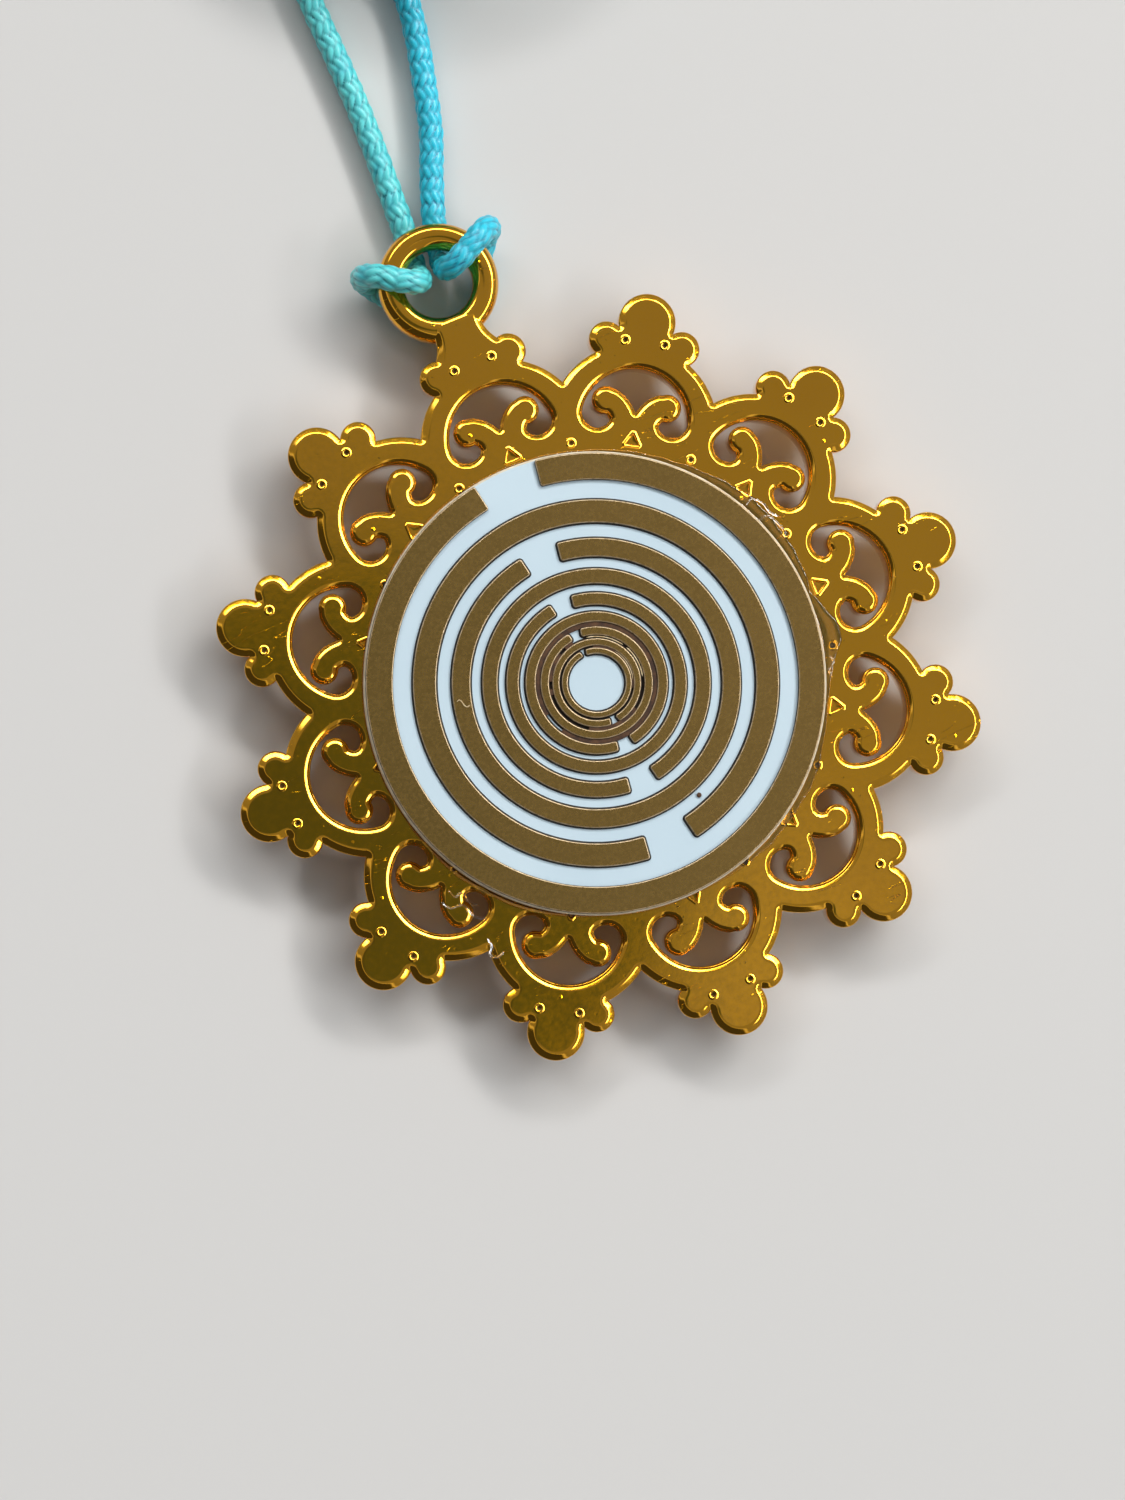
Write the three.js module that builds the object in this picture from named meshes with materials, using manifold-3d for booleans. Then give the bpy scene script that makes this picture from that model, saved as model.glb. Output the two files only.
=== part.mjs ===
// An amulet coin: a cast rosette pendant with an engraved disc glued to its face, hitched by
// its eye to a knotted neck cord. Millimetres, +Z up. The pendant lies face up on z = 0. +Y
// runs from the rosette to the eye, and the origin is under the middle of the pendant's box.
import * as THREE from 'three';
import { mergeVertices } from 'three/addons/utils/BufferGeometryUtils.js';
import Module from 'manifold-3d';

const wasm = await Module();
wasm.setup();

// Heights, from the surface up
const TRAY_HEIGHT = 1.6;
const PLATE_THICKNESS = 1.6;
const GLUE_THICKNESS = 0.2;
const DISC_CORE_THICKNESS = 1.3;
const DISC_CAP_THICKNESS = 0.2;

// Rosette. In each lobe the places are distances from the rosette's centre along the lobe's
// middle line, and offsets are to both sides of that line.
const LOBE_COUNT = 12;
const PLATE_BEVEL = 0.2;
const LOBE_CENTRE = 13.63;
const LOBE_RADIUS = 4.6;
const SHOULDER_CENTRE = 18.22;
const SHOULDER_OFFSET = 2.08;
const SHOULDER_RADIUS = 0.97;
const TIP_CENTRE = 19.42;
const TIP_RADIUS = 1.57;
const FILL_SHARE = 0.93; // of the shoulders' offset: a round that fills the lobe under its tip

// The opening in each lobe: a crescent whose two ends curl in round a comma's head
const ARCH_CENTRE = 13.92;
const ARCH_RADIUS = 2.92;
const CURL_CENTRE = 14.2;
const CURL_OFFSET = 2.07;
const OPENING_BEVEL = 0.2;
const OPENING_BEVEL_DEPTH = 0.5;
const POCKET_ANGLE = THREE.MathUtils.degToRad(-138);
const HEAD_START_ANGLE = THREE.MathUtils.degToRad(-104);
const HEAD_END_ANGLE = THREE.MathUtils.degToRad(118);
// Shares of the curl's radius, from its centre: across the lobe's line, along it, and a radius
const HEAD_SHARES = [-0.445, 0.866, 0.915];
const POCKET_SHARES = [[-0.8, -0.36], [-0.72, -0.14]];
const CUSP_SHARE = 0.3; // along the line, where the head's two necks part
const NECK_SHARES = [[0.618, 0.878], [0.386, 0.675], [0.176, 0.38]]; // of the head's offset and rise

// Small cast recesses
const PIT_RADIUS = 0.2;
const PIT_DEPTH = 0.3;
const PIT_TAPER_SHARE = 0.5;
const TIP_PIT_CENTRE = 18.27;
const TIP_PIT_OFFSET = 1.09;
const WEB_PIT_CENTRE = 12.71;
const WEDGE_APEX = 13.42;
const WEDGE_BASE = 12.56;
const WEDGE_HALF_WIDTH = 0.51;

// The eye at the top, and the neck that carries it
const EYE_CENTRE = 23.07;
const EYE_HOLE_RADIUS = 1.85;
const EYE_BAND = 1.45;
const EYE_HEIGHT = 1.4;
const EYE_DROP = 0.05; // of the eye's crown below the plate's face
const NECK_HALF_WIDTH = 1.37;
const NECK_FOOT_HALF_WIDTH = 1.79;
const NECK_FLARE = 0.5; // from the foot's notch up to the neck's plain width
const NECK_SET_BACK = 0.2; // of the neck's end behind the hole's wall

// The tray on the back, a rim that the pendant lies on
const TRAY_CLEARANCE = 0.05;
const TRAY_WALL = 0.55;

// The disc, glued on a little off the rosette's centre
const DISC_RADIUS = 12.5;
const DISC_BEVEL = 0.12;
const DISC_OFFSET = new THREE.Vector2(-0.6, -0.27);
const GLUE_SET_BACK = 0.1;

// The pattern cut through the disc's cap: nested bands, each with one gate
const BAND_COUNT = 9;
const BAND_STEP_SHARE = 0.79; // of a band's outer radius, for the next one's
const BAND_INNER_SHARE = 0.885; // of a band's outer radius, for its inner one
const GROOVE_WIDENING = 0.12;
const GATE_SHARE = 0.307; // of the radius, for a gate's width
const GATE_NARROWING = 0.3;
const GATE_LEAN = THREE.MathUtils.degToRad(1.3); // of the gates towards the eye
const FAR_GATE_LEAN = THREE.MathUtils.degToRad(2.4); // of the gates away from it
const BAND_STEPS = 50; // round the largest band
const BAND_STEPS_LESS = 4; // fewer on each next one

// The cord. Places on it are from the eye's centre, and heights from the surface.
const CORD_DIAMETER = 1.4;
const CORD_SIDES = 8;
const CORD_GAP = 0.3; // between the ends of two lengths of cord that meet
const HITCH_STEPS = 54;
const FREE_STEPS = 9;
const HITCH_ROUTE = [
  [-0.42, 3.75, 0.75], [-0.5, 2.9, 0.75], [-0.64, 2.0, 0.8], [-0.76, 1.22, 1.15], [-0.78, 0.8, 1.8],
  [-0.84, 0.56, 2.6], [-0.98, 0.42, 3.35], [-1.38, 0.42, 3.9], [-2.15, 0.84, 4.02], [-2.92, 1.36, 3.92],
  [-3.52, 1.7, 3.35], [-3.7, 1.8, 2.5], [-3.6, 1.7, 1.65], [-3.3, 1.3, 1.05], [-2.85, 0.7, 0.78],
  [-2.5, 0.1, 0.75], [-2.3, -0.72, 0.75], [-1.7, -1.66, 0.75], [-0.8, -2.25, 0.75], [0.15, -2.43, 0.75],
  [1.1, -2.26, 0.75], [2.03, -1.66, 0.75], [2.54, -0.9, 0.75], [2.74, 0.05, 0.76], [3.1, 0.86, 0.86],
  [3.45, 1.38, 1.15], [3.67, 1.68, 1.7], [3.74, 1.78, 2.5], [3.48, 1.7, 3.35], [2.87, 1.38, 3.92],
  [2.03, 0.93, 4.02], [1.24, 0.57, 3.95], [0.8, 0.5, 3.35], [0.72, 0.62, 2.6], [0.74, 0.84, 1.8],
  [0.82, 1.28, 1.15], [0.98, 2.0, 0.8], [1.18, 2.9, 0.75], [1.38, 3.75, 0.75],
];
const LEFT_ROUTE = [
  [-0.41, 4.05, 0.75], [-0.34, 5.6, 0.75], [-0.22, 8.2, 0.75], [-0.16, 11.0, 0.75], [-0.22, 14.0, 0.75],
  [-0.32, 16.8, 0.76], [-0.34, 19.8, 0.84], [-0.24, 22.6, 1.04], [-0.12, 24.6, 1.22], [-0.1, 25.3, 1.25],
  [-0.1, 25.95, 1.25],
];
const RIGHT_ROUTE = [
  [1.48, 4.04, 0.75], [2.1, 5.75, 0.75], [3.02, 8.05, 0.75], [3.78, 10.9, 0.75], [4.33, 13.3, 0.75],
  [4.6, 15.3, 0.78], [4.35, 17.2, 0.95], [3.6, 19.0, 1.35], [2.55, 20.7, 1.9], [1.5, 22.2, 2.45],
  [0.6, 23.6, 2.9], [0.05, 24.7, 3.07], [-0.1, 25.3, 3.1], [-0.1, 25.95, 3.1],
];

// The spare cord: both strands wound side by side, one on the other, into one round coil
const COIL_CENTRE = new THREE.Vector2(10.5, 28.4);
const COIL_OUTER_TURN = 10.6; // the outermost turn's radius
const COIL_TURN_STEP = 1.92; // from turn to turn, across
const COIL_LAYER_STEP = 1.85; // from layer to layer, up
const COIL_FIRST_LAYER = 1.25; // the lowest layer's height
const COIL_TURNS_IN = 3;
const COIL_TURNS_OUT = 2.75;
const COIL_LEAD = 2.1; // straight cord at each end
const COIL_STEPS = 24; // round each turn
const COIL_SIDES = 6;

// The ends of the strands, from the coil to the knot that joins them
const END_STEPS = 8;
const LEFT_END_ROUTE = [
  [13.0, 38.12, 4.95], [14.4, 38.12, 4.9], [16.3, 37.8, 4.3], [18.2, 36.95, 3.1], [20.0, 35.8, 1.75],
  [21.8, 34.75, 0.95], [23.5, 34.0, 0.78], [25.0, 33.45, 0.85],
];
const RIGHT_END_ROUTE = [
  [13.0, 38.12, 6.8], [14.6, 38.12, 6.78], [17.0, 38.3, 6.2], [19.2, 38.3, 4.6], [21.0, 37.8, 2.8],
  [22.7, 37.0, 1.6], [24.2, 36.2, 1.2], [25.6, 35.45, 1.2],
];
const KNOT_CENTRE = new THREE.Vector3(28.0, 33.3, 1.65);
const KNOT_LENGTH = 5.0;
const KNOT_WIDTH = 3.6;
const KNOT_HEIGHT = 3.2;
const KNOT_HEADING = THREE.MathUtils.degToRad(-22);
const TAIL_STEPS = 4;
const LEFT_TAIL_ROUTE = [[28.6, 32.6, 1.2], [30.6, 31.4, 0.8], [32.8, 30.6, 0.75], [35.2, 30.3, 0.75]];
const RIGHT_TAIL_ROUTE = [[28.9, 33.4, 1.3], [31.2, 33.0, 0.8], [33.4, 33.1, 0.75], [35.6, 33.8, 0.75]];

// The tie: a thin flat band round the coil's turns
const TIE_THICKNESS = 0.25;
const TIE_WIDTH = 3;
const TIE_CLEARANCE = 0.3;
const TIE_CORNER = 1.1;
const TIE_ANGLE = THREE.MathUtils.degToRad(-35);
const TIE_CORNER_STEPS = 3;

const OVERRUN = 0.1; // of every cut past the face that it cuts
const WELD = 0.0005; // corners of a joined solid closer than this become one

// Sizes that follow from those above
const plateBottom = TRAY_HEIGHT;
const plateTop = plateBottom + PLATE_THICKNESS;
const coreBottom = plateTop + GLUE_THICKNESS;
const coreTop = coreBottom + DISC_CORE_THICKNESS;
const tipReach = TIP_CENTRE + TIP_RADIUS;
const eyeRadius = EYE_HOLE_RADIUS + EYE_BAND;
const rosetteY = (tipReach - EYE_CENTRE - eyeRadius) / 2;
const lobeAngle = (2 * Math.PI) / LOBE_COUNT;
const upright = Math.PI / 2;

// Geometry helpers. A solid is built round the rosette's centre, and its mesh is moved there.
function closedSolid(geometry) {
  const bare = geometry.clone();
  bare.deleteAttribute('normal');
  bare.deleteAttribute('uv');
  const merged = mergeVertices(bare);
  const corners = [];
  for (let i = 0; i < merged.index.count; i += 3) {
    const [a, b, c] = [0, 1, 2].map((k) => merged.index.getX(i + k));
    if (a !== b && b !== c && c !== a) corners.push(a, b, c);
  }
  return new wasm.Manifold(new wasm.Mesh({
    numProp: 3,
    vertProperties: merged.attributes.position.array,
    triVerts: new Uint32Array(corners),
  }));
}

function geometryOf(solid) {
  const mesh = solid.asOriginal().simplify(WELD).getMesh();
  const geometry = new THREE.BufferGeometry();
  geometry.setAttribute('position', new THREE.BufferAttribute(mesh.vertProperties, 3));
  geometry.setIndex(new THREE.BufferAttribute(mesh.triVerts, 1));
  geometry.computeVertexNormals();
  return geometry;
}

function turned(profile, segments) {
  const points = profile.map(([radius, height]) => new THREE.Vector2(radius, height));
  return new THREE.LatheGeometry(points, segments).rotateX(upright);
}

function roundPlate(radius, bottom, top, bevel, segments, bottomBevel = bevel) {
  return turned([
    [0, bottom], [radius - bottomBevel, bottom], [radius, bottom + bottomBevel],
    [radius, top - bevel], [radius - bevel, top], [0, top],
  ], segments);
}

function arc(x, y, radius, start, end, steps) {
  return Array.from({ length: steps + 1 }, (_, i) => {
    const angle = start + ((end - start) * i) / steps;
    return new THREE.Vector2(x + radius * Math.cos(angle), y + radius * Math.sin(angle));
  });
}

function mirrored(half) {
  const other = half.slice(1, -1).reverse().map((p) => new THREE.Vector2(-p.x, p.y));
  return new THREE.Shape([...half, ...other]);
}

// Rosette
function lobe(withTip) {
  const round = (x, y, radius, segments) => closedSolid(
    roundPlate(radius, plateBottom, plateTop, PLATE_BEVEL, segments, 0).translate(x, y, 0),
  );
  let solid = round(0, LOBE_CENTRE, LOBE_RADIUS, 30)
    .add(round(0, SHOULDER_CENTRE - SHOULDER_RADIUS, SHOULDER_OFFSET * FILL_SHARE, 16))
    .add(round(SHOULDER_OFFSET, SHOULDER_CENTRE, SHOULDER_RADIUS, 13))
    .add(round(-SHOULDER_OFFSET, SHOULDER_CENTRE, SHOULDER_RADIUS, 13));
  if (withTip) solid = solid.add(round(0, TIP_CENTRE, TIP_RADIUS, 18));
  return solid;
}

function openingShape() {
  const curlReach = new THREE.Vector2(CURL_OFFSET, CURL_CENTRE - ARCH_CENTRE);
  const curlRadius = ARCH_RADIUS - curlReach.length();
  const meeting = curlReach.angle();
  const [headX, headY, headRadius] = HEAD_SHARES.map((share) => share * curlRadius);
  const cusp = CURL_CENTRE + CUSP_SHARE * curlRadius;
  const headRise = CURL_CENTRE + headY + headRadius - cusp;
  return mirrored([
    ...arc(0, ARCH_CENTRE, ARCH_RADIUS, upright, meeting, 7),
    ...arc(CURL_OFFSET, CURL_CENTRE, curlRadius, meeting, POCKET_ANGLE, 6).slice(1),
    ...POCKET_SHARES.map(([across, along]) => new THREE.Vector2(
      CURL_OFFSET + across * curlRadius, CURL_CENTRE + along * curlRadius,
    )),
    ...arc(CURL_OFFSET + headX, CURL_CENTRE + headY, headRadius, HEAD_START_ANGLE, HEAD_END_ANGLE, 6),
    ...NECK_SHARES.map(([across, along]) => new THREE.Vector2(
      across * (CURL_OFFSET + headX), cusp + along * headRise,
    )),
    new THREE.Vector2(0, cusp),
  ]);
}

function recesses() {
  const depth = PIT_DEPTH + OVERRUN;
  const middle = plateTop + OVERRUN - depth / 2;
  const pit = (x, y) => closedSolid(
    new THREE.CylinderGeometry(PIT_RADIUS, PIT_RADIUS * PIT_TAPER_SHARE, depth, 5)
      .rotateX(upright).translate(x, y, middle),
  );
  const wedge = new THREE.Shape([
    new THREE.Vector2(0, WEDGE_APEX),
    new THREE.Vector2(-WEDGE_HALF_WIDTH, WEDGE_BASE),
    new THREE.Vector2(WEDGE_HALF_WIDTH, WEDGE_BASE),
  ]);
  const webX = WEB_PIT_CENTRE * Math.sin(lobeAngle / 2);
  const webY = WEB_PIT_CENTRE * Math.cos(lobeAngle / 2);
  return pit(TIP_PIT_OFFSET, TIP_PIT_CENTRE)
    .add(pit(-TIP_PIT_OFFSET, TIP_PIT_CENTRE))
    .add(pit(webX, webY))
    .add(closedSolid(new THREE.ExtrudeGeometry(wedge, { depth, bevelEnabled: false })
      .translate(0, 0, plateTop - PIT_DEPTH)));
}

function eye() {
  const middle = plateTop - EYE_DROP - EYE_HEIGHT / 2;
  const section = arc(0, 0, 1, 0, 2 * Math.PI, 8).map(({ x, y }) => [
    EYE_HOLE_RADIUS + (EYE_BAND * (1 + x)) / 2, middle + (EYE_HEIGHT * y) / 2,
  ]);
  return closedSolid(turned(section, 28)).translate([0, EYE_CENTRE, 0]);
}

function neck() {
  const straight = PLATE_THICKNESS - PLATE_BEVEL;
  const intoShoulder = SHOULDER_OFFSET - NECK_FOOT_HALF_WIDTH;
  const notch = SHOULDER_CENTRE + Math.sqrt(SHOULDER_RADIUS ** 2 - intoShoulder ** 2);
  const half = [
    new THREE.Vector2(0, EYE_CENTRE), new THREE.Vector2(NECK_HALF_WIDTH, EYE_CENTRE),
    new THREE.Vector2(NECK_HALF_WIDTH, notch + NECK_FLARE), new THREE.Vector2(NECK_FOOT_HALF_WIDTH, notch),
    new THREE.Vector2(NECK_FOOT_HALF_WIDTH, LOBE_CENTRE), new THREE.Vector2(0, LOBE_CENTRE),
  ];
  const strip = new THREE.ExtrudeGeometry(mirrored(half), {
    depth: straight, bevelThickness: PLATE_BEVEL, bevelSize: PLATE_BEVEL,
    bevelOffset: -PLATE_BEVEL, bevelSegments: 1,
  }).translate(0, 0, plateBottom);
  const below = roundPlate(EYE_CENTRE + eyeRadius, plateBottom - TRAY_HEIGHT, plateBottom, 0, 30);
  const bore = roundPlate(
    EYE_HOLE_RADIUS + NECK_SET_BACK, plateBottom - OVERRUN, plateTop + OVERRUN, 0, 30,
  ).translate(0, EYE_CENTRE, 0);
  return closedSolid(strip).subtract(closedSolid(below)).subtract(closedSolid(bore));
}

function tray() {
  const inner = DISC_RADIUS + TRAY_CLEARANCE;
  const outer = inner + TRAY_WALL;
  return closedSolid(turned([
    [inner, 0], [outer, 0], [outer, plateBottom + OVERRUN], [inner, plateBottom + OVERRUN], [inner, 0],
  ], 60));
}

function pendantFrame() {
  const degrees = (i) => THREE.MathUtils.radToDeg(i * lobeAngle);
  const opening = closedSolid(new THREE.ExtrudeGeometry(openingShape(), {
    depth: PLATE_THICKNESS - OPENING_BEVEL_DEPTH + OVERRUN, bevelThickness: OPENING_BEVEL_DEPTH,
    bevelSize: -OPENING_BEVEL, bevelSegments: 1,
  }).translate(0, 0, plateBottom));
  const cuts = opening.add(recesses());
  let solid = closedSolid(roundPlate(LOBE_CENTRE, plateBottom, plateTop, 0, 60));
  for (let i = 0; i < LOBE_COUNT; i++) {
    solid = solid.add(lobe(i > 0).rotate([0, 0, degrees(i)]));
  }
  for (let i = 0; i < LOBE_COUNT; i++) {
    solid = solid.subtract(cuts.rotate([0, 0, degrees(i)]));
  }
  return solid.add(neck()).add(eye()).add(tray());
}

// Disc
function band(index) {
  const outer = DISC_RADIUS * BAND_STEP_SHARE ** index;
  const inner = outer * BAND_INNER_SHARE - GROOVE_WIDENING;
  const towardsEye = index % 2 === 0;
  const middle = towardsEye ? upright + GATE_LEAN : FAR_GATE_LEAN - upright;
  const halfGate = (radius) => Math.asin((GATE_SHARE - GATE_NARROWING / radius) / 2);
  const steps = BAND_STEPS - BAND_STEPS_LESS * index;
  const end = middle + 2 * Math.PI;
  return new THREE.ExtrudeGeometry(new THREE.Shape([
    ...arc(0, 0, outer, middle + halfGate(outer), end - halfGate(outer), steps),
    ...arc(0, 0, inner, end - halfGate(inner), middle + halfGate(inner), steps),
  ]), { depth: DISC_CAP_THICKNESS, bevelEnabled: false });
}

// Cord
const eyeY = rosetteY + EYE_CENTRE;
const cordPoints = (route) => route.map(([x, y, z]) => new THREE.Vector3(x, y + eyeY, z));
const cordCurve = (points) => new THREE.CatmullRomCurve3(points, false, 'centripetal');

function cordTube(points, steps, sides = CORD_SIDES) {
  const section = new THREE.Shape(arc(0, 0, CORD_DIAMETER / 2, 0, 2 * Math.PI, sides).slice(0, -1));
  return new THREE.ExtrudeGeometry(section, {
    steps, bevelEnabled: false, extrudePath: cordCurve(points),
  });
}

function coilPoints(strand) {
  const centre = new THREE.Vector3(COIL_CENTRE.x, COIL_CENTRE.y + eyeY, 0);
  const innerTurn = COIL_OUTER_TURN - COIL_TURN_STEP * COIL_TURNS_IN;
  const low = COIL_FIRST_LAYER + strand * COIL_LAYER_STEP;
  const high = low + 2 * COIL_LAYER_STEP;
  const reach = COIL_TURN_STEP / (2 * Math.PI);
  const turns = COIL_TURNS_IN + 0.5 + COIL_TURNS_OUT;
  const points = [];
  for (let i = 0; i <= turns * COIL_STEPS; i++) {
    const turn = i / COIL_STEPS;
    const back = THREE.MathUtils.clamp(2 * (turn - COIL_TURNS_IN), 0, 1);
    let radius = innerTurn - reach * Math.sin(Math.PI * back);
    if (back === 0) radius += COIL_TURN_STEP * (COIL_TURNS_IN - turn);
    if (back === 1) radius += COIL_TURN_STEP * (turn - COIL_TURNS_IN - 0.5);
    const angle = Math.PI - 2 * Math.PI * turn;
    points.push(new THREE.Vector3(
      radius * Math.cos(angle), radius * Math.sin(angle),
      low + (high - low) * THREE.MathUtils.smoothstep(back, 0, 1),
    ).add(centre));
  }
  const lead = (end, before) => new THREE.Vector3(end.x - before.x, end.y - before.y, 0)
    .setLength(COIL_LEAD).add(end);
  return [lead(points[0], points[1]), ...points, lead(points.at(-1), points.at(-2))];
}

function leastGap(points) {
  let least = Infinity;
  for (let i = 0; i < points.length; i++) {
    for (let k = i + COIL_STEPS / 3; k < points.length; k++) {
      least = Math.min(least, points[i].distanceTo(points[k]) - CORD_DIAMETER);
    }
  }
  return least;
}

function coil(strand) {
  const points = coilPoints(strand);
  console.log(`coil strand ${strand}: least gap to itself ${leastGap(points).toFixed(2)} mm`);
  return cordTube(points, points.length - 1, COIL_SIDES);
}

function endKnot() {
  const ball = new THREE.SphereGeometry(1, 14, 8)
    .scale(KNOT_LENGTH / 2, KNOT_WIDTH / 2, KNOT_HEIGHT / 2).rotateZ(KNOT_HEADING)
    .translate(KNOT_CENTRE.x, KNOT_CENTRE.y + eyeY, KNOT_CENTRE.z);
  return geometryOf(closedSolid(ball)
    .add(closedSolid(cordTube(cordPoints(LEFT_TAIL_ROUTE), TAIL_STEPS)))
    .add(closedSolid(cordTube(cordPoints(RIGHT_TAIL_ROUTE), TAIL_STEPS))));
}

function coilTie() {
  const reach = COIL_TURN_STEP / (2 * Math.PI);
  const room = CORD_DIAMETER / 2 + TIE_CLEARANCE;
  const near = COIL_OUTER_TURN - COIL_TURN_STEP * COIL_TURNS_IN - reach - room;
  const far = COIL_OUTER_TURN + room;
  const low = TIE_THICKNESS;
  const high = COIL_FIRST_LAYER + 3 * COIL_LAYER_STEP + room;
  const loop = (grow) => {
    const corner = TIE_CORNER + grow;
    const [x0, x1, y0, y1] = [near - grow, far + grow, low - grow, high + grow];
    return [
      ...arc(x1 - corner, y0 + corner, corner, -upright, 0, TIE_CORNER_STEPS),
      ...arc(x1 - corner, y1 - corner, corner, 0, upright, TIE_CORNER_STEPS),
      ...arc(x0 + corner, y1 - corner, corner, upright, 2 * upright, TIE_CORNER_STEPS),
      ...arc(x0 + corner, y0 + corner, corner, 2 * upright, 3 * upright, TIE_CORNER_STEPS),
    ];
  };
  const outline = new THREE.Shape(loop(TIE_THICKNESS));
  outline.holes.push(new THREE.Path(loop(0)));
  return new THREE.ExtrudeGeometry(outline, { depth: TIE_WIDTH, bevelEnabled: false })
    .translate(0, 0, -TIE_WIDTH / 2).rotateX(upright).rotateZ(TIE_ANGLE)
    .translate(COIL_CENTRE.x, COIL_CENTRE.y + eyeY, 0);
}

// Materials
const finish = (color, roughness, metalness) => (
  new THREE.MeshStandardMaterial({ color, roughness, metalness })
);
const goldFinish = () => finish(0xb8923a, 0.22, 1);
const glueFinish = () => finish(0xe8e6da, 0.25, 0);
const coreFinish = () => finish(0xe4dcc4, 0.4, 0);
const capFinish = () => finish(0x73592f, 0.35, 0.3);
const cordFinish = () => finish(0x2fb4cf, 0.8, 0);
const tieFinish = () => finish(0xf0ede4, 0.8, 0);

// The model
const object = new THREE.Group();
function place(parent, name, geometry, material) {
  const mesh = new THREE.Mesh(geometry, material);
  mesh.name = name;
  parent.add(mesh);
  return mesh;
}

const pendant = new THREE.Group();
pendant.position.set(0, rosetteY, 0);
object.add(pendant);
place(pendant, 'pendant_frame', geometryOf(pendantFrame()), goldFinish());

const disc = new THREE.Group();
disc.position.set(DISC_OFFSET.x, DISC_OFFSET.y, 0);
pendant.add(disc);
place(disc, 'glue_layer',
  roundPlate(DISC_RADIUS - GLUE_SET_BACK, plateTop, coreBottom, 0, 48), glueFinish());
place(disc, 'disc_core',
  roundPlate(DISC_RADIUS, coreBottom, coreTop, DISC_BEVEL, 60), coreFinish());
for (let i = 0; i < BAND_COUNT; i++) {
  place(disc, `disc_band_${i + 1}`, band(i), capFinish()).position.z = coreTop;
}

place(object, 'cord_hitch', cordTube(cordPoints(HITCH_ROUTE), HITCH_STEPS), cordFinish());
place(object, 'cord_left', cordTube(cordPoints(LEFT_ROUTE), FREE_STEPS), cordFinish());
place(object, 'cord_right', cordTube(cordPoints(RIGHT_ROUTE), FREE_STEPS), cordFinish());
place(object, 'cord_coil_left', coil(0), cordFinish());
place(object, 'cord_coil_right', coil(1), cordFinish());
place(object, 'cord_end_left', cordTube(cordPoints(LEFT_END_ROUTE), END_STEPS), cordFinish());
place(object, 'cord_end_right', cordTube(cordPoints(RIGHT_END_ROUTE), END_STEPS), cordFinish());
place(object, 'end_knot', endKnot(), cordFinish());
place(object, 'coil_tie', coilTie(), tieFinish());

export default object;
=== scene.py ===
import math

import bmesh
import bpy
import numpy as np
from mathutils import Matrix, Vector
from mathutils.geometry import delaunay_2d_cdt


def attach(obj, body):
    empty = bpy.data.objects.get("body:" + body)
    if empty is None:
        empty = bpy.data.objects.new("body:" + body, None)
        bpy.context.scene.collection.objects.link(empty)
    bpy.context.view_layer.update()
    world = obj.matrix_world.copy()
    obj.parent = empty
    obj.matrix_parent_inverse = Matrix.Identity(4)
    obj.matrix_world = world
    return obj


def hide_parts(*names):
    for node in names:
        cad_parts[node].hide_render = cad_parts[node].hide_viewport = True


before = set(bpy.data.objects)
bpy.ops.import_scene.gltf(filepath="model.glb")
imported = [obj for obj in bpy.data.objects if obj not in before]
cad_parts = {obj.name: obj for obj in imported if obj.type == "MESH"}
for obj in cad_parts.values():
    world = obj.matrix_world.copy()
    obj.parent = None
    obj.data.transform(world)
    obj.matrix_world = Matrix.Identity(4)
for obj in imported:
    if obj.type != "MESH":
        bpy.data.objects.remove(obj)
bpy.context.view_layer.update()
MM = 0.001

# Sizes of the object
ROSETTE_Y = -2.69
EYE_Y = 20.38
PLATE_BOTTOM, PLATE_TOP = 1.6, 3.2
CORE_BOTTOM, CORE_TOP, CAP_TOP = 3.4, 4.7, 4.9
LOBES = 12
LOBE_STEP = 2 * math.pi / LOBES
LOBE_CENTRE, LOBE_RADIUS = 13.63, 4.6
SHOULDER = (2.08, 18.22)
SHOULDER_RADIUS = 0.97
TIP_CENTRE, TIP_RADIUS = 19.42, 1.57
NECK_HALF, NECK_FOOT = 1.37, 1.79
EYE_CENTRE = 23.07
EYE_HOLE, EYE_OUTER = 1.85, 3.3
DISC_RADIUS = 12.5
DISC_OFFSET = (-0.6, -0.27)
CORD_RADIUS = 0.7

# Camera, at the photo's angle
PHOTO_SCALE = 0.05358  # millimetres to a pixel on the disc's face
PHOTO_WIDTH, PHOTO_HEIGHT = 1125, 1500
PHOTO_TURN = math.radians(22.5)  # of the part's +X from the photo's right
CAMERA_DISTANCE = 188.0
CAMERA_TARGET = Vector((-3.703, -5.588, CAP_TOP))
CAMERA_LEAN = (-0.084, -0.0306)  # towards the photo's left and its lower edge
SENSOR_HEIGHT = 24

photo_right = Vector((math.cos(PHOTO_TURN), -math.sin(PHOTO_TURN), 0))
photo_up = Vector((math.sin(PHOTO_TURN), math.cos(PHOTO_TURN), 0))
lean = photo_right * CAMERA_LEAN[0] + photo_up * CAMERA_LEAN[1]
axis = Vector((lean.x, lean.y, math.sqrt(1 - lean.length_squared)))
across = (photo_right - axis * axis.dot(photo_right)).normalized()
upward = axis.cross(across)
camera_place = CAMERA_TARGET + axis * CAMERA_DISTANCE


def linked(name, data):
    obj = bpy.data.objects.new(name, data)
    bpy.context.scene.collection.objects.link(obj)
    return obj


camera = linked("camera", bpy.data.cameras.new("camera"))
camera.data.sensor_fit = "VERTICAL"
camera.data.sensor_height = SENSOR_HEIGHT
camera.data.lens = SENSOR_HEIGHT * CAMERA_DISTANCE / (PHOTO_HEIGHT * PHOTO_SCALE)
camera.data.clip_start, camera.data.clip_end = 0.005, 20
turned = Matrix((across, upward, axis)).transposed().to_4x4()
camera.matrix_world = Matrix.Translation(camera_place * MM) @ turned
bpy.context.scene.camera = camera


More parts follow.
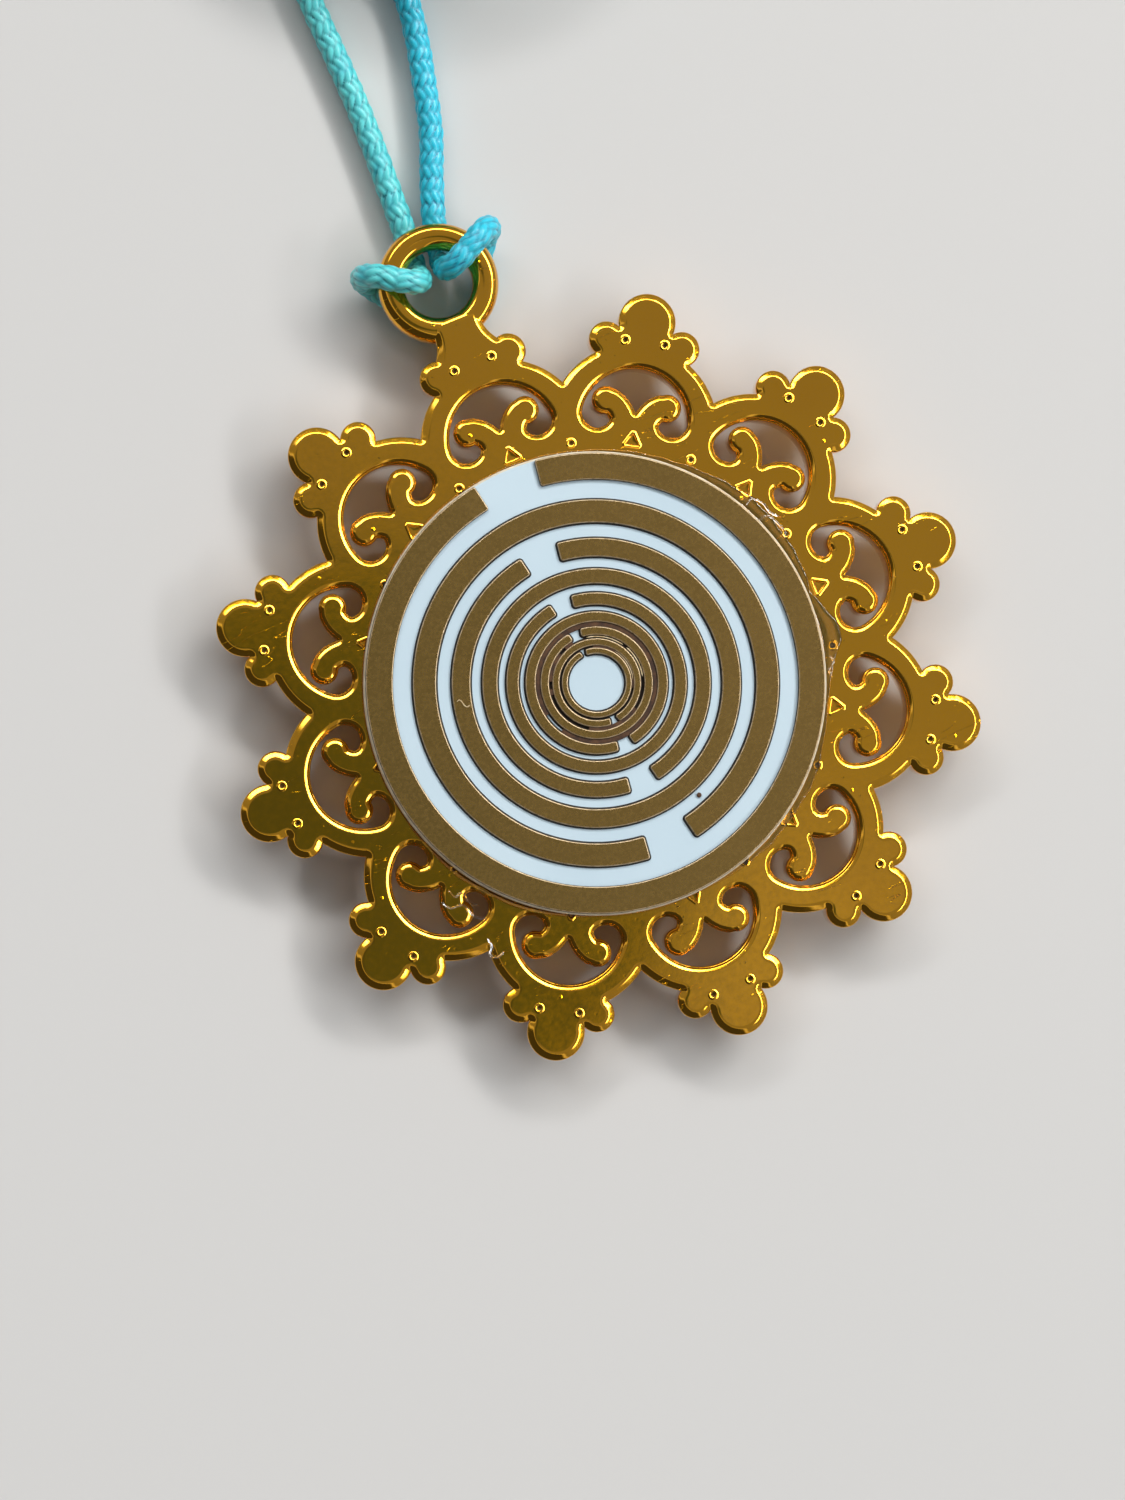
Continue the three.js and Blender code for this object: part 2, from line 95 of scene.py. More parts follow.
def on_photo(x, y, z):
    """The point at height z under a place in the photo, in its pixels."""
    aim = (CAMERA_TARGET + across * ((x - PHOTO_WIDTH / 2) * PHOTO_SCALE)
           + upward * ((PHOTO_HEIGHT / 2 - y) * PHOTO_SCALE))
    return tuple(camera_place + (aim - camera_place) * ((camera_place.z - z) / (camera_place.z - aim.z)))


def from_photo(azimuth):
    """The part's angle for one in the photo, in degrees anticlockwise."""
    return math.radians(azimuth) - PHOTO_TURN


# Flat outlines
ARC_STEP = 0.13  # between an arc's points
FAN_POINTS = 5  # where a corner is spread
FAN_LIMIT = math.radians(22)  # the least bend that counts as a corner
MITRE_LIMIT = 0.6
SEAM, SAME_POINT = 1e-4, 1e-5  # how close makes points one


def arc(x, y, radius, start, end, step=ARC_STEP):
    count = max(3, math.ceil(abs(end - start) * radius / step))
    angles = np.linspace(start, end, count + 1)
    return np.column_stack((x + radius * np.cos(angles), y + radius * np.sin(angles)))


def meeting(c0, r0, c1, r1):
    """Where two circles cross, on the right of the way from c0 to c1."""
    c0, c1 = np.asarray(c0, float), np.asarray(c1, float)
    d = np.linalg.norm(c1 - c0)
    along = (r0 * r0 - r1 * r1 + d * d) / (2 * d)
    u = (c1 - c0) / d
    return c0 + u * along - np.array([-u[1], u[0]]) * math.sqrt(r0 * r0 - along * along)


def angle_of(point, centre):
    return math.atan2(point[1] - centre[1], point[0] - centre[0])


def turn(points, angle):
    c, s = math.cos(angle), math.sin(angle)
    return np.asarray(points) @ np.array([[c, s], [-s, c]])


def mirrored(run):
    return run[::-1] * [-1, 1]


def spaced(points, gap):
    """The points without those that lie on the one before."""
    keep = [points[0]]
    for point in points[1:]:
        if np.hypot(*(point - keep[-1])) > gap:
            keep.append(point)
    return np.array(keep)


def joined(runs):
    """One loop from runs of points; the seams between runs are its corners."""
    loop = spaced(np.vstack(runs), SEAM)
    return loop if np.hypot(*(loop[0] - loop[-1])) > SEAM else loop[:-1]


def fanned(loop):
    """Points with normals into the solid and out of it, in a fan where a corner opens."""
    points, inward, outward = [], [], []
    for p, a, b in zip(loop, np.roll(loop, 1, 0), np.roll(loop, -1, 0)):
        d0, d1 = (p - a) / np.hypot(*(p - a)), (b - p) / np.hypot(*(b - p))
        bend = math.atan2(d0[0] * d1[1] - d0[1] * d1[0], d0 @ d1)
        n0, n1 = np.array([-d0[1], d0[0]]), np.array([-d1[1], d1[0]])
        n = n0 + n1
        n /= np.hypot(*n)
        fan = corner = [n / max(MITRE_LIMIT, float(n @ n0))]
        if abs(bend) > FAN_LIMIT:
            angles = math.atan2(n0[1], n0[0]) + bend * np.linspace(0, 1, FAN_POINTS)
            fan, corner = list(zip(np.cos(angles), np.sin(angles))), corner * FAN_POINTS
        points += [p] * len(fan)
        inward += fan if bend < 0 else corner
        outward += corner if bend < 0 else fan
    return np.array(points), (np.array(inward), np.array(outward))


def inside(points, loops):
    """Even-odd test of points against all loops."""
    edges = np.concatenate([np.hstack((l, np.roll(l, -1, 0))) for l in loops])
    x, y = points[:, 0], points[:, 1]
    count = np.zeros(len(points), int)
    for x0, y0, x1, y1 in edges:
        crosses = (y0 > y) != (y1 > y)
        if crosses.any():
            count += crosses & (x < x0 + (y - y0) * (x1 - x0) / (y1 - y0))
    return count % 2 == 1


def flat_face(loops):
    """Points and triangles that fill the area between the loops."""
    edges, at = [], 0
    for loop in loops:
        n = len(loop)
        edges += [(at + i, at + (i + 1) % n) for i in range(n)]
        at += n
    points = [Vector(p) for p in np.concatenate(loops)]
    verts, _, faces, *_ = delaunay_2d_cdt(points, edges, [], 0, 1e-6, True)
    verts, faces = np.array(verts), np.array(faces)
    return verts, faces[inside(verts[faces].mean(1), loops)]


# Meshes
WELD = 0.002  # joins points this close
SLIVER = 0.0005  # edges shorter than this go
SHARP_ANGLE = math.radians(42)
LEVEL = 0.99999  # of a level face's normal, upwards


def mesh_object(name, verts, faces, materials, indices=None, uvs=None):
    """An object from points in millimetres. uvs has one pair per point."""
    mesh = bpy.data.meshes.new(name)
    mesh.from_pydata((np.asarray(verts, float) * MM).tolist(), [], faces)
    for material in materials:
        mesh.materials.append(material)
    if indices:
        mesh.polygons.foreach_set("material_index", indices)
    mesh.polygons.foreach_set("use_smooth", np.ones(len(mesh.polygons), bool))
    if uvs is not None:
        layer = mesh.uv_layers.new(name="along")
        loops = np.empty(len(mesh.loops), np.int32)
        mesh.loops.foreach_get("vertex_index", loops)
        layer.data.foreach_set("uv", np.asarray(uvs, np.float32)[loops].ravel())
    mesh.update()
    return linked(name, mesh)


def mark_edges(obj):
    """Marks sharp edges, and shades level faces flat, so that no long triangle shows."""
    mesh = obj.data
    mesh.set_sharp_from_angle(angle=SHARP_ANGLE)
    normals = np.empty(3 * len(mesh.polygons), np.float32)
    mesh.polygons.foreach_get("normal", normals)
    mesh.polygons.foreach_set("use_smooth", np.abs(normals[2::3]) < LEVEL)
    mesh.update()


def strip(n, a, b):
    """The faces between rings a and b of n points."""
    return [(a * n + i, b * n + i, b * n + (i + 1) % n, a * n + (i + 1) % n) for i in range(n)]


class Solid:
    """Collects faces for one welded mesh. A face's kind is its material's number."""

    def __init__(self):
        self.verts, self.faces, self.kinds, self.count = [], [], [], 0

    def add(self, verts, faces, kinds=0):
        self.verts.append(np.asarray(verts, float))
        self.faces += [tuple(int(i) + self.count for i in f) for f in faces]
        self.kinds += kinds if isinstance(kinds, list) else [kinds] * len(faces)
        self.count += len(verts)

    def walls(self, loop, profile, kinds=None):
        """Strips down a profile of (distance in, height). Gives the top and bottom loops."""
        points, normals = fanned(loop)
        n = len(points)
        rings = [np.column_stack((points + normals[distance < 0] * distance, np.full(n, z)))
                 for distance, z in profile]
        kinds = kinds or [0] * (len(rings) - 1)
        faces = [face for r in range(len(kinds)) for face in strip(n, r, r + 1)]
        self.add(np.concatenate(rings), faces, np.repeat(kinds, n).tolist())
        return rings[0][:, :2], rings[-1][:, :2]

    def cap(self, loops, z, up=True, kind=0):
        verts, faces = flat_face([spaced(loop, SAME_POINT) for loop in loops])
        self.add(np.column_stack((verts, np.full(len(verts), z))), faces if up else faces[:, ::-1], kind)

    def turned(self, profile, steps, centre=(0, 0), kinds=None):
        """A profile of (radius, height), turned round the upright through centre."""
        angles = np.linspace(0, 2 * math.pi, steps, endpoint=False)
        n = len(profile)
        verts = [[centre[0] + r * c, centre[1] + r * s, z]
                 for c, s in zip(np.cos(angles), np.sin(angles)) for r, z in profile]
        faces = [(i * n + j, k * n + j, k * n + j + 1, i * n + j + 1)
                 for i, k in zip(range(steps), [*range(1, steps), 0]) for j in range(n - 1)]
        self.add(verts, faces, (kinds or [0] * (n - 1)) * steps)

    def make(self, name, materials, offset=(0, 0, 0)):
        verts = np.concatenate(self.verts) + np.asarray(offset, float)
        obj = mesh_object(name, verts, self.faces, materials, self.kinds)
        bm = bmesh.new()
        bm.from_mesh(obj.data)
        bmesh.ops.remove_doubles(bm, verts=bm.verts, dist=WELD * MM)
        bmesh.ops.dissolve_degenerate(bm, edges=bm.edges, dist=SLIVER * MM)
        bmesh.ops.recalc_face_normals(bm, faces=bm.faces)
        bm.to_mesh(obj.data)
        bm.free()
        mark_edges(obj)
        return obj


def union(target, others):
    """Joins closed meshes into target."""
    for other in others:
        mod = target.modifiers.new("union", "BOOLEAN")
        mod.operation, mod.object, mod.solver = "UNION", other, "MANIFOLD"
        with bpy.context.temp_override(object=target, active_object=target):
            bpy.ops.object.modifier_apply(modifier=mod.name)
        bpy.data.objects.remove(other, do_unlink=True)
    mark_edges(target)


def dress(piece, body, slot, *replaced):
    """Puts a piece into its body and hides the CAD nodes that it stands for. slot, its finish, is not used.
    """
    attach(piece, body)
    if replaced:
        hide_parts(*replaced)
    return piece


# Materials
class Nodes:
    """Builds a material's or a world's nodes. Values are plain or other nodes' outputs."""

    def __init__(self, owner, place="Object"):
        owner.use_nodes = True
        self.owner, self.tree = owner, owner.node_tree
        self.at = self.node("TexCoord").outputs[place]

    def put(self, socket, value):
        if isinstance(value, bpy.types.NodeSocket):
            self.tree.links.new(value, socket)
        else:
            socket.default_value = value

    def node(self, kind, inputs=(), **settings):
        node = self.tree.nodes.new("ShaderNode" + kind)
        for key, value in settings.items():
            setattr(node, key, value)
        for key, value in dict(inputs).items():
            self.put(node.inputs[key], value)
        return node

    def math(self, operation, *values):
        return self.node("Math", enumerate(values), operation=operation).outputs[0]

    def vector(self, operation, *values, out="Vector"):
        return self.node("VectorMath", enumerate(values), operation=operation).outputs[out]

    def noise(self, scale, detail=3.0, roughness=0.55, stretch=None, at=None):
        vector = at or self.at
        if stretch:
            vector = self.node("Mapping", {"Vector": vector, "Scale": stretch}).outputs[0]
        return self.node("TexNoise", {"Vector": vector, "Scale": scale, "Detail": detail,
                                      "Roughness": roughness}).outputs["Fac"]

    def cells(self, scale):
        return self.node("TexVoronoi", {"Vector": self.at, "Scale": scale}).outputs["Distance"]

    def ramp(self, value, *stops):
        node = self.node("ValToRGB", {"Fac": value})
        elements = node.color_ramp.elements
        for element, (position, color) in zip(elements, stops):
            element.position, element.color = position, (*color, 1)
        for position, color in stops[2:]:
            elements.new(position).color = (*color, 1)
        return node.outputs["Color"]

    def level(self, value, low, high, start=0.0, end=1.0):
        return self.node("MapRange", {"Value": value, "From Min": low, "From Max": high,
                                      "To Min": start, "To Max": end}).outputs[0]

    def spread(self, noise, start=0.0, end=1.0):
        """The usual range of a noise, spread from start to end."""
        return self.level(noise, 0.3, 0.7, start, end)

    def mix(self, share, a, b):
        node = self.node("Mix", data_type="RGBA")
        self.put(node.inputs["Factor"], share)
        for socket, color in zip(node.inputs[6:8], (a, b)):
            self.put(socket, color if isinstance(color, bpy.types.NodeSocket) else (*color, 1))
        return node.outputs[2]

    def bump(self, height, distance, strength=1.0, normal=None):
        """Relief of a height in metres, on top of another one's normal."""
        inputs = {"Height": height, "Distance": distance, "Strength": strength}
        if normal:
            inputs["Normal"] = normal
        return self.node("Bump", inputs).outputs[0]

    def finish(self, **sockets):
        shader = self.tree.nodes["Principled BSDF"]
        for key, value in sockets.items():
            self.put(shader.inputs[key.replace("_", " ")], value)
        return self.owner


def material_nodes(name):
    return Nodes(bpy.data.materials.new(name))


def rgb(r, g, b):
    """Linear colour from 0..255 display values."""
    return tuple(((v / 255 + 0.055) / 1.055) ** 2.4 if v > 10 else v / 255 / 12.92
                 for v in (r, g, b))


def gold_material():
    """Polished gilt with slow waves, a fine ripple, pinholes, faint scratches and specks."""
    n = material_nodes("gold_cast")
    grain = n.noise(3200, 3.0, 0.6)
    normal = n.bump(n.noise(150, 2.0), 0.00005, 0.2)
    normal = n.bump(n.noise(900, 2.0, 0.5), 0.000008, 0.3, normal)
    normal = n.bump(grain, 0.000003, 0.45, normal)
    normal = n.bump(n.level(n.cells(1100), 0.03, 0.1), 0.00001, 0.3, normal)
    lines = n.noise(260, 1.0, 0.3, stretch=(1.0, 7.0, 1.0))
    line = n.level(n.math("ABSOLUTE", n.math("SUBTRACT", lines, 0.5)), 0.0, 0.006, 1.0, 0.0)
    scratch = n.math("MULTIPLY", line, n.level(n.noise(420, 2.0), 0.58, 0.66))
    speck = n.level(n.cells(620), 0.03, 0.07, 1.0, 0.0)
    normal = n.bump(n.math("ADD", scratch, speck), 0.00004, 0.8, normal)
    color = n.ramp(n.noise(90, 2.0), (0.35, (0.82, 0.385, 0.003)), (0.65, (0.87, 0.42, 0.005)))
    return n.finish(Base_Color=color, Metallic=1.0, Roughness=n.spread(grain, 0.06, 0.14),
                    Normal=normal, Coat_Weight=1.0, Coat_IOR=1.45, Coat_Roughness=0.05)


def core_material():
    """Pale, satin and a little cloudy."""
    n = material_nodes("disc_core")
    fine = n.noise(5200, 2.0, 0.6)
    color = n.mix(n.spread(n.noise(160, 2.0)), rgb(197, 218, 230), rgb(203, 223, 234))
    return n.finish(Base_Color=color, Roughness=n.spread(fine, 0.42, 0.56),
                    Normal=n.bump(fine, 0.000004, 0.5))


def edge_material():
    """Sawn, with upright marks."""
    n = material_nodes("disc_edge")
    fine = n.noise(1500, 3.0, 0.6)
    saw = n.noise(2400, 2.0, 0.5, stretch=(1.0, 1.0, 0.08))
    color = n.ramp(fine, (0.3, rgb(206, 190, 160)), (0.65, rgb(236, 226, 204)))
    return n.finish(Base_Color=color, Roughness=n.spread(saw, 0.45, 0.65),
                    Normal=n.bump(saw, 0.00003, 0.6))


def cap_material():
    """The brown bands: metallic paint with a fine grain and pale dust."""
    n = material_nodes("disc_cap")
    fine = n.noise(6200, 3.0, 0.7)
    color = n.ramp(n.noise(210, 3.0, 0.6), (0.3, (0.45, 0.275, 0.078)), (0.7, (0.5, 0.305, 0.09)))
    color = n.mix(n.level(fine, 0.35, 0.72, 0.0, 0.35), color, (0.56, 0.36, 0.12))
    color = n.mix(n.level(n.cells(560), 0.010, 0.016, 0.5, 0.0), color, rgb(205, 190, 150))
    return n.finish(Base_Color=color, Metallic=1.0, Roughness=n.spread(fine, 0.22, 0.3),
                    Normal=n.bump(fine, 0.000003, 0.3))


def speckled_material(name, scale, low, high, roughness, metallic=0.0):
    """Two shades in a fine noise. roughness is a value or a range."""
    n = material_nodes(name)
    fine = n.noise(scale, 2.0, 0.6)
    rough = n.spread(fine, *roughness) if isinstance(roughness, tuple) else roughness
    return n.finish(Base_Color=n.ramp(fine, (0.35, low), (0.65, high)), Metallic=metallic,
                    Roughness=rough)


def half_cut_material():
    """The torn floor of a half-cut groove."""
    n = material_nodes("half_cut_floor")
    fine = n.noise(2600, 3.0, 0.65)
    color = n.ramp(fine, (0.35, rgb(54, 30, 14)), (0.7, rgb(96, 62, 32)))
    return n.finish(Base_Color=color, Roughness=0.55, Normal=n.bump(fine, 0.00002, 0.6))


def glue_material():
    """Clear, glossy and lumpy."""
    n = material_nodes("glue")
    lumps = n.noise(500, 3.0, 0.5)
    return n.finish(Base_Color=(0.99, 0.985, 0.96, 1), Roughness=n.spread(lumps, 0.02, 0.09),
                    Normal=n.bump(lumps, 0.00003, 0.4), IOR=1.42, Transmission_Weight=1.0)


def cord_material():
    """Waxed yarn, pale on the stitches and darker between them, a painted shade."""
    n = material_nodes("cord")
    uv = n.node("UVMap", uv_map="along").outputs[0]
    height = n.node("Attribute", attribute_name="stitch").outputs["Fac"]
    shade = n.node("Attribute", attribute_name="shade").outputs["Fac"]
    fibre = n.noise(5.0, 3.0, 0.6, (1.6, 0.35, 1.0), uv)
    low = n.mix(shade, rgb(0, 104, 146), rgb(24, 126, 138))
    high = n.mix(shade, rgb(20, 200, 230), rgb(104, 222, 218))
    # Low stitch height, between the yarns, takes the low colour: painted shade in the crevices
    color = n.mix(n.level(height, 0.12, 0.75), low, high)
    color = n.mix(n.level(fibre, 0.5, 0.8, 0.0, 0.5), color, rgb(150, 240, 240))
    color = n.mix(n.level(n.noise(700, 2.0), 0.42, 0.75, 0.0, 0.4), color, rgb(10, 170, 196))
    return n.finish(Base_Color=color, Roughness=n.spread(fibre, 0.26, 0.42),
                    Normal=n.bump(fibre, 0.00003, 0.35), Coat_Weight=0.3, Coat_Roughness=0.25)


def tie_material():
    """A ribbed off-white paper band."""
    n = material_nodes("tie")
    weft = n.node("TexWave", {"Vector": n.at, "Scale": 900.0, "Distortion": 1.0}, wave_type="BANDS",
                  bands_direction="DIAGONAL").outputs["Fac"]
    fine = n.noise(2600, 3.0)
    color = n.mix(n.spread(fine), rgb(226, 222, 210), rgb(243, 240, 232))
    return n.finish(Base_Color=color, Roughness=0.85,
                    Normal=n.bump(n.math("ADD", weft, fine), 0.00004, 0.6))


GOLD, CORE, EDGE, CAP = gold_material(), core_material(), edge_material(), cap_material()
# The bands' bevels are a paler brown than their tops: a painted highlight along every edge
CAP_BEVEL_HIGHLIGHT = speckled_material("disc_cap_bevel_painted_highlight", 3000, (0.50, 0.36, 0.2), (0.68, 0.52, 0.33), (0.25, 0.4), 0.5)
CAP_WALL = speckled_material("disc_cap_wall", 3000, rgb(20, 13, 7), rgb(40, 27, 14), 0.7)
HALF_CUT = half_cut_material()
BURR = speckled_material("burr", 2600, rgb(190, 160, 110), rgb(232, 214, 176), (0.4, 0.6))
# Dark brown for the round recesses' walls and floors: painted shade in the pits
PAINTED_PIT_SHADE = speckled_material("gold_recess_painted_shade", 2600, rgb(104, 74, 26), rgb(150, 112, 44), (0.4, 0.6), 0.6)
GLUE, CORD, TIE = glue_material(), cord_material(), tie_material()

# The cord's routes, from the eye's middle
HITCH_ROUTE = [
    [-0.42, 3.75, 0.75], [-0.5, 2.9, 0.75], [-0.64, 2, 0.8], [-0.76, 1.22, 1.15], [-0.78, 0.8, 1.8],
    [-0.84, 0.56, 2.6], [-0.98, 0.42, 3.35], [-1.38, 0.42, 3.9], [-2.15, 0.84, 4.02], [-2.92, 1.36, 3.92],
    [-3.52, 1.7, 3.35], [-3.7, 1.8, 2.5], [-3.6, 1.7, 1.65], [-3.3, 1.3, 1.05], [-2.85, 0.7, 0.78],
    [-2.5, 0.1, 0.75], [-2.3, -0.72, 0.75], [-1.7, -1.66, 0.75], [-0.8, -2.25, 0.75], [0.15, -2.43, 0.75],
    [1.1, -2.26, 0.75], [2.03, -1.66, 0.75], [2.54, -0.9, 0.75], [2.74, 0.05, 0.76], [3.1, 0.86, 0.86],
    [3.45, 1.38, 1.15], [3.67, 1.68, 1.7], [3.74, 1.78, 2.5], [3.48, 1.7, 3.35], [2.87, 1.38, 3.92],
    [2.03, 0.93, 4.02], [1.24, 0.57, 3.95], [0.8, 0.5, 3.35], [0.72, 0.62, 2.6], [0.74, 0.84, 1.8],
    [0.82, 1.28, 1.15], [0.98, 2, 0.8], [1.18, 2.9, 0.75], [1.38, 3.75, 0.75],
]
BAR_MIDDLE = 19  # where the two strands part
FREE_ROUTES = [[
    [-0.41, 4.05, 0.75], [-0.34, 5.6, 0.75], [-0.22, 8.2, 0.75], [-0.16, 11, 0.75], [-0.22, 14, 0.75],
    [-0.32, 16.8, 0.76], [-0.34, 19.8, 0.84], [-0.24, 22.6, 1.04], [-0.12, 24.6, 1.22], [-0.1, 25.3, 1.25],
    [-0.1, 25.95, 1.25],
], [
    [1.48, 4.04, 0.75], [2.1, 5.75, 0.75], [3.02, 8.05, 0.75], [3.78, 10.9, 0.75], [4.33, 13.3, 0.75],
    [4.6, 15.3, 0.78], [4.35, 17.2, 0.95], [3.6, 19, 1.35], [2.55, 20.7, 1.9], [1.5, 22.2, 2.45],
    [0.6, 23.6, 2.9], [0.05, 24.7, 3.07], [-0.1, 25.3, 3.1], [-0.1, 25.95, 3.1],
]]
END_ROUTES = [[
    [13, 38.12, 4.95], [14.4, 38.12, 4.9], [16.3, 37.8, 4.3], [18.2, 36.95, 3.1], [20, 35.8, 1.75],
    [21.8, 34.75, 0.95], [23.5, 34, 0.78], [25, 33.45, 0.85],
], [
    [13, 38.12, 6.8], [14.6, 38.12, 6.78], [17, 38.3, 6.2], [19.2, 38.3, 4.6], [21, 37.8, 2.8],
    [22.7, 37, 1.6], [24.2, 36.2, 1.2], [25.6, 35.45, 1.2],
]]
TAIL_ROUTES = [
    [[28.6, 32.6, 1.2], [30.6, 31.4, 0.8], [32.8, 30.6, 0.75], [35.2, 30.3, 0.75]],
    [[28.9, 33.4, 1.3], [31.2, 33, 0.8], [33.4, 33.1, 0.75], [35.6, 33.8, 0.75]],
]
COIL_CENTRE = (10.5, 28.4)
COIL_OUTER, COIL_STEP, LAYER_STEP, FIRST_LAYER = 10.6, 1.92, 1.85, 1.25
TURNS_IN, TURNS_BACK, TURNS_OUT = 3, 0.5, 2.75
TURN_POINTS = 36


def coil_points(strand):
    """The coil's own formula: in on the lower pair of layers, out again on the upper."""
    turns = np.arange(int((TURNS_IN + TURNS_BACK + TURNS_OUT) * TURN_POINTS) + 1) / TURN_POINTS
    back = np.clip((turns - TURNS_IN) / TURNS_BACK, 0, 1)
    spiral = np.maximum(TURNS_IN - turns, 0) + np.maximum(turns - TURNS_IN - TURNS_BACK, 0)
    radius = COIL_OUTER + COIL_STEP * (spiral - TURNS_IN - np.sin(math.pi * back) / (2 * math.pi))
    angle = math.pi - 2 * math.pi * turns
    height = FIRST_LAYER + LAYER_STEP * (strand + 2 * back * back * (3 - 2 * back))
    return np.column_stack((COIL_CENTRE[0] + radius * np.cos(angle),
                            COIL_CENTRE[1] + radius * np.sin(angle), height))


def from_eye(points):
    return np.add(points, (0, EYE_Y, 0))


SPLINE_POINTS = 16  # between two points of a route


def between(t, t0, t1, a, b):
    return (t1 - t) / (t1 - t0) * a + (t - t0) / (t1 - t0) * b


def smooth_path(points, step, fine_step=None, fine_length=0.0):
    """A centripetal spline, sampled in even steps, finer ones at first."""
    points = np.asarray(points, float)
    padded = np.vstack((2 * points[0] - points[1], points, 2 * points[-1] - points[-2]))
    dense = []
    for i in range(len(points) - 1):
        p0, p1, p2, p3 = padded[i:i + 4]
        gaps = np.linalg.norm(np.diff(padded[i:i + 4], axis=0), axis=1)
        t0, t1, t2, t3 = np.cumsum([0, *gaps ** 0.5])
        t = np.linspace(t1, t2, SPLINE_POINTS, endpoint=False)[:, None]
        a1, a2, a3 = between(t, t0, t1, p0, p1), between(t, t1, t2, p1, p2), between(t, t2, t3, p2, p3)
        dense.append(between(t, t1, t2, between(t, t0, t2, a1, a2), between(t, t1, t3, a2, a3)))
    dense = np.vstack(dense + [points[-1:]])
    length = np.concatenate(([0], np.cumsum(np.linalg.norm(np.diff(dense, axis=0), axis=1))))
    at = np.linspace(fine_length, length[-1], max(2, round((length[-1] - fine_length) / step)) + 1)
    if fine_step:
        at = np.concatenate((np.arange(0, fine_length, fine_step), at))
    return np.column_stack([np.interp(at, length, dense[:, k]) for k in range(3)]), at


def tangents_of(path, at):
    tangents = np.gradient(path, at, axis=0)
    return tangents / np.linalg.norm(tangents, axis=1)[:, None]


def tube(path, radii, side, up):
    """A closed tube's points and faces. radii has a row for each ring."""
    rings, sides = radii.shape
    phi = np.linspace(0, 2 * math.pi, sides, endpoint=False)
    verts = path[:, None] + radii[..., None] * (np.cos(phi)[:, None] * side[:, None]
                                                + np.sin(phi)[:, None] * up[:, None])
    i = np.arange(rings - 1)[:, None] * sides
    j = np.arange(sides)
    k = (j + 1) % sides
    faces = np.stack((i + j, i + k, i + sides + k, i + sides + j), -1).reshape(-1, 4).tolist()
    faces += [list(range(sides))[::-1], [(rings - 1) * sides + s for s in range(sides)]]
    return verts.reshape(-1, 3), faces


# The braid
YARNS = 8  # in each direction
STITCH = 0.72  # length of one crossing along the cord
STITCH_DEPTH = 0.14
YARN_ROUNDING, DIVE_ROUNDING = 0.8, 0.7  # powers, across and along
DIVE_SHARE = 0.6  # of a yarn's height, lost where it dives


def weave(phi, at):
    """Height and yarn coordinates where each yarn passes over two, under two."""
    u = YARNS * phi / (2 * math.pi) + at[:, None] / STITCH
    v = YARNS * phi / (2 * math.pi) - at[:, None] / STITCH
    i, j = np.floor(u), np.floor(v)
    phase = (i - j) % 4
    first = phase < 2
    across = np.where(first, u - i, v - j)
    along = np.where(first, (v - j + (phase == 0)) / 2, (u - i + (phase == 3)) / 2)
    height = np.sqrt(np.clip(1 - (2 * across - 1) ** 2, 0, 1)) ** YARN_ROUNDING
    height *= 1 - DIVE_SHARE + DIVE_SHARE * np.sin(math.pi * along) ** DIVE_ROUNDING
    return height, across + 3.0 * np.where(first, i, j + 50), along * 2


def braid(path, at, sides, pressed=()):
    """A braided tube's points, faces, uv and stitch height. pressed: places, share of the radius."""
    tangents = tangents_of(path, at)
    normal = np.cross(tangents[0], [0.0, 0.0, 1.0])
    normals = []
    for t in tangents:
        normal = normal - t * (normal @ t)
        normal /= np.linalg.norm(normal)
        normals.append(normal)
    height, across, along = weave(np.linspace(0, 2 * math.pi, sides, endpoint=False), at)
    radii = CORD_RADIUS - STITCH_DEPTH + STITCH_DEPTH * height
    if pressed:
        radii = radii * np.interp(at, *zip(*pressed))[:, None]
    verts, faces = tube(path, radii, np.array(normals), np.cross(tangents, normals))
    return verts, faces, np.stack((across, along), -1).reshape(-1, 2), height.reshape(-1)


def cord_object(name, shade, runs):
    """One object of braided runs, each given as for braid."""
    solid = Solid()
    uvs, heights = [], []
    for run in runs:
        verts, faces, uv, height = braid(*run)
        solid.add(verts, faces)
        uvs.append(uv)
        heights.append(height)
    obj = mesh_object(name, np.concatenate(solid.verts), solid.faces, [CORD], uvs=np.concatenate(uvs))
    for key, values in (("stitch", np.concatenate(heights)), ("shade", np.full(solid.count, shade))):
        attribute = obj.data.attributes.new(key, "FLOAT", "POINT")
        attribute.data.foreach_set("value", values.astype(np.float32))
    return obj


# The strands, finer where the photo shows them
STRAND_SIDES, STRAND_STEP, SEEN_STEP, SEEN_LENGTH = 48, 0.23, 0.11, 46.0
STRAND_SHADES = {"left": 0.85, "right": 0.08}
BAR_PRESS = 0.86  # of the radius, under the neck
BAR_PRESS_END, BAR_FREE = 4.6, 6.4  # along the strand


def strand_object(index, side):
    hitch = HITCH_ROUTE[:BAR_MIDDLE + 1][::-1] if index == 0 else HITCH_ROUTE[BAR_MIDDLE:]
    route = np.vstack((hitch, FREE_ROUTES[index], coil_points(index), END_ROUTES[index]))
    path, at = smooth_path(from_eye(route), STRAND_STEP, SEEN_STEP, SEEN_LENGTH)
    pressed = [(0, BAR_PRESS), (BAR_PRESS_END, BAR_PRESS), (BAR_FREE, 1), (at[-1], 1)]
    strand = cord_object(f"strand_{side}", STRAND_SHADES[side], [(path, at, STRAND_SIDES, pressed)])
    dress(strand, "cord", "cord", "cord_hitch", f"cord_{side}", f"cord_coil_{side}", f"cord_end_{side}")
    return strand, path, at[-1]


strands = [strand_object(index, side) for index, side in enumerate(("left", "right"))]

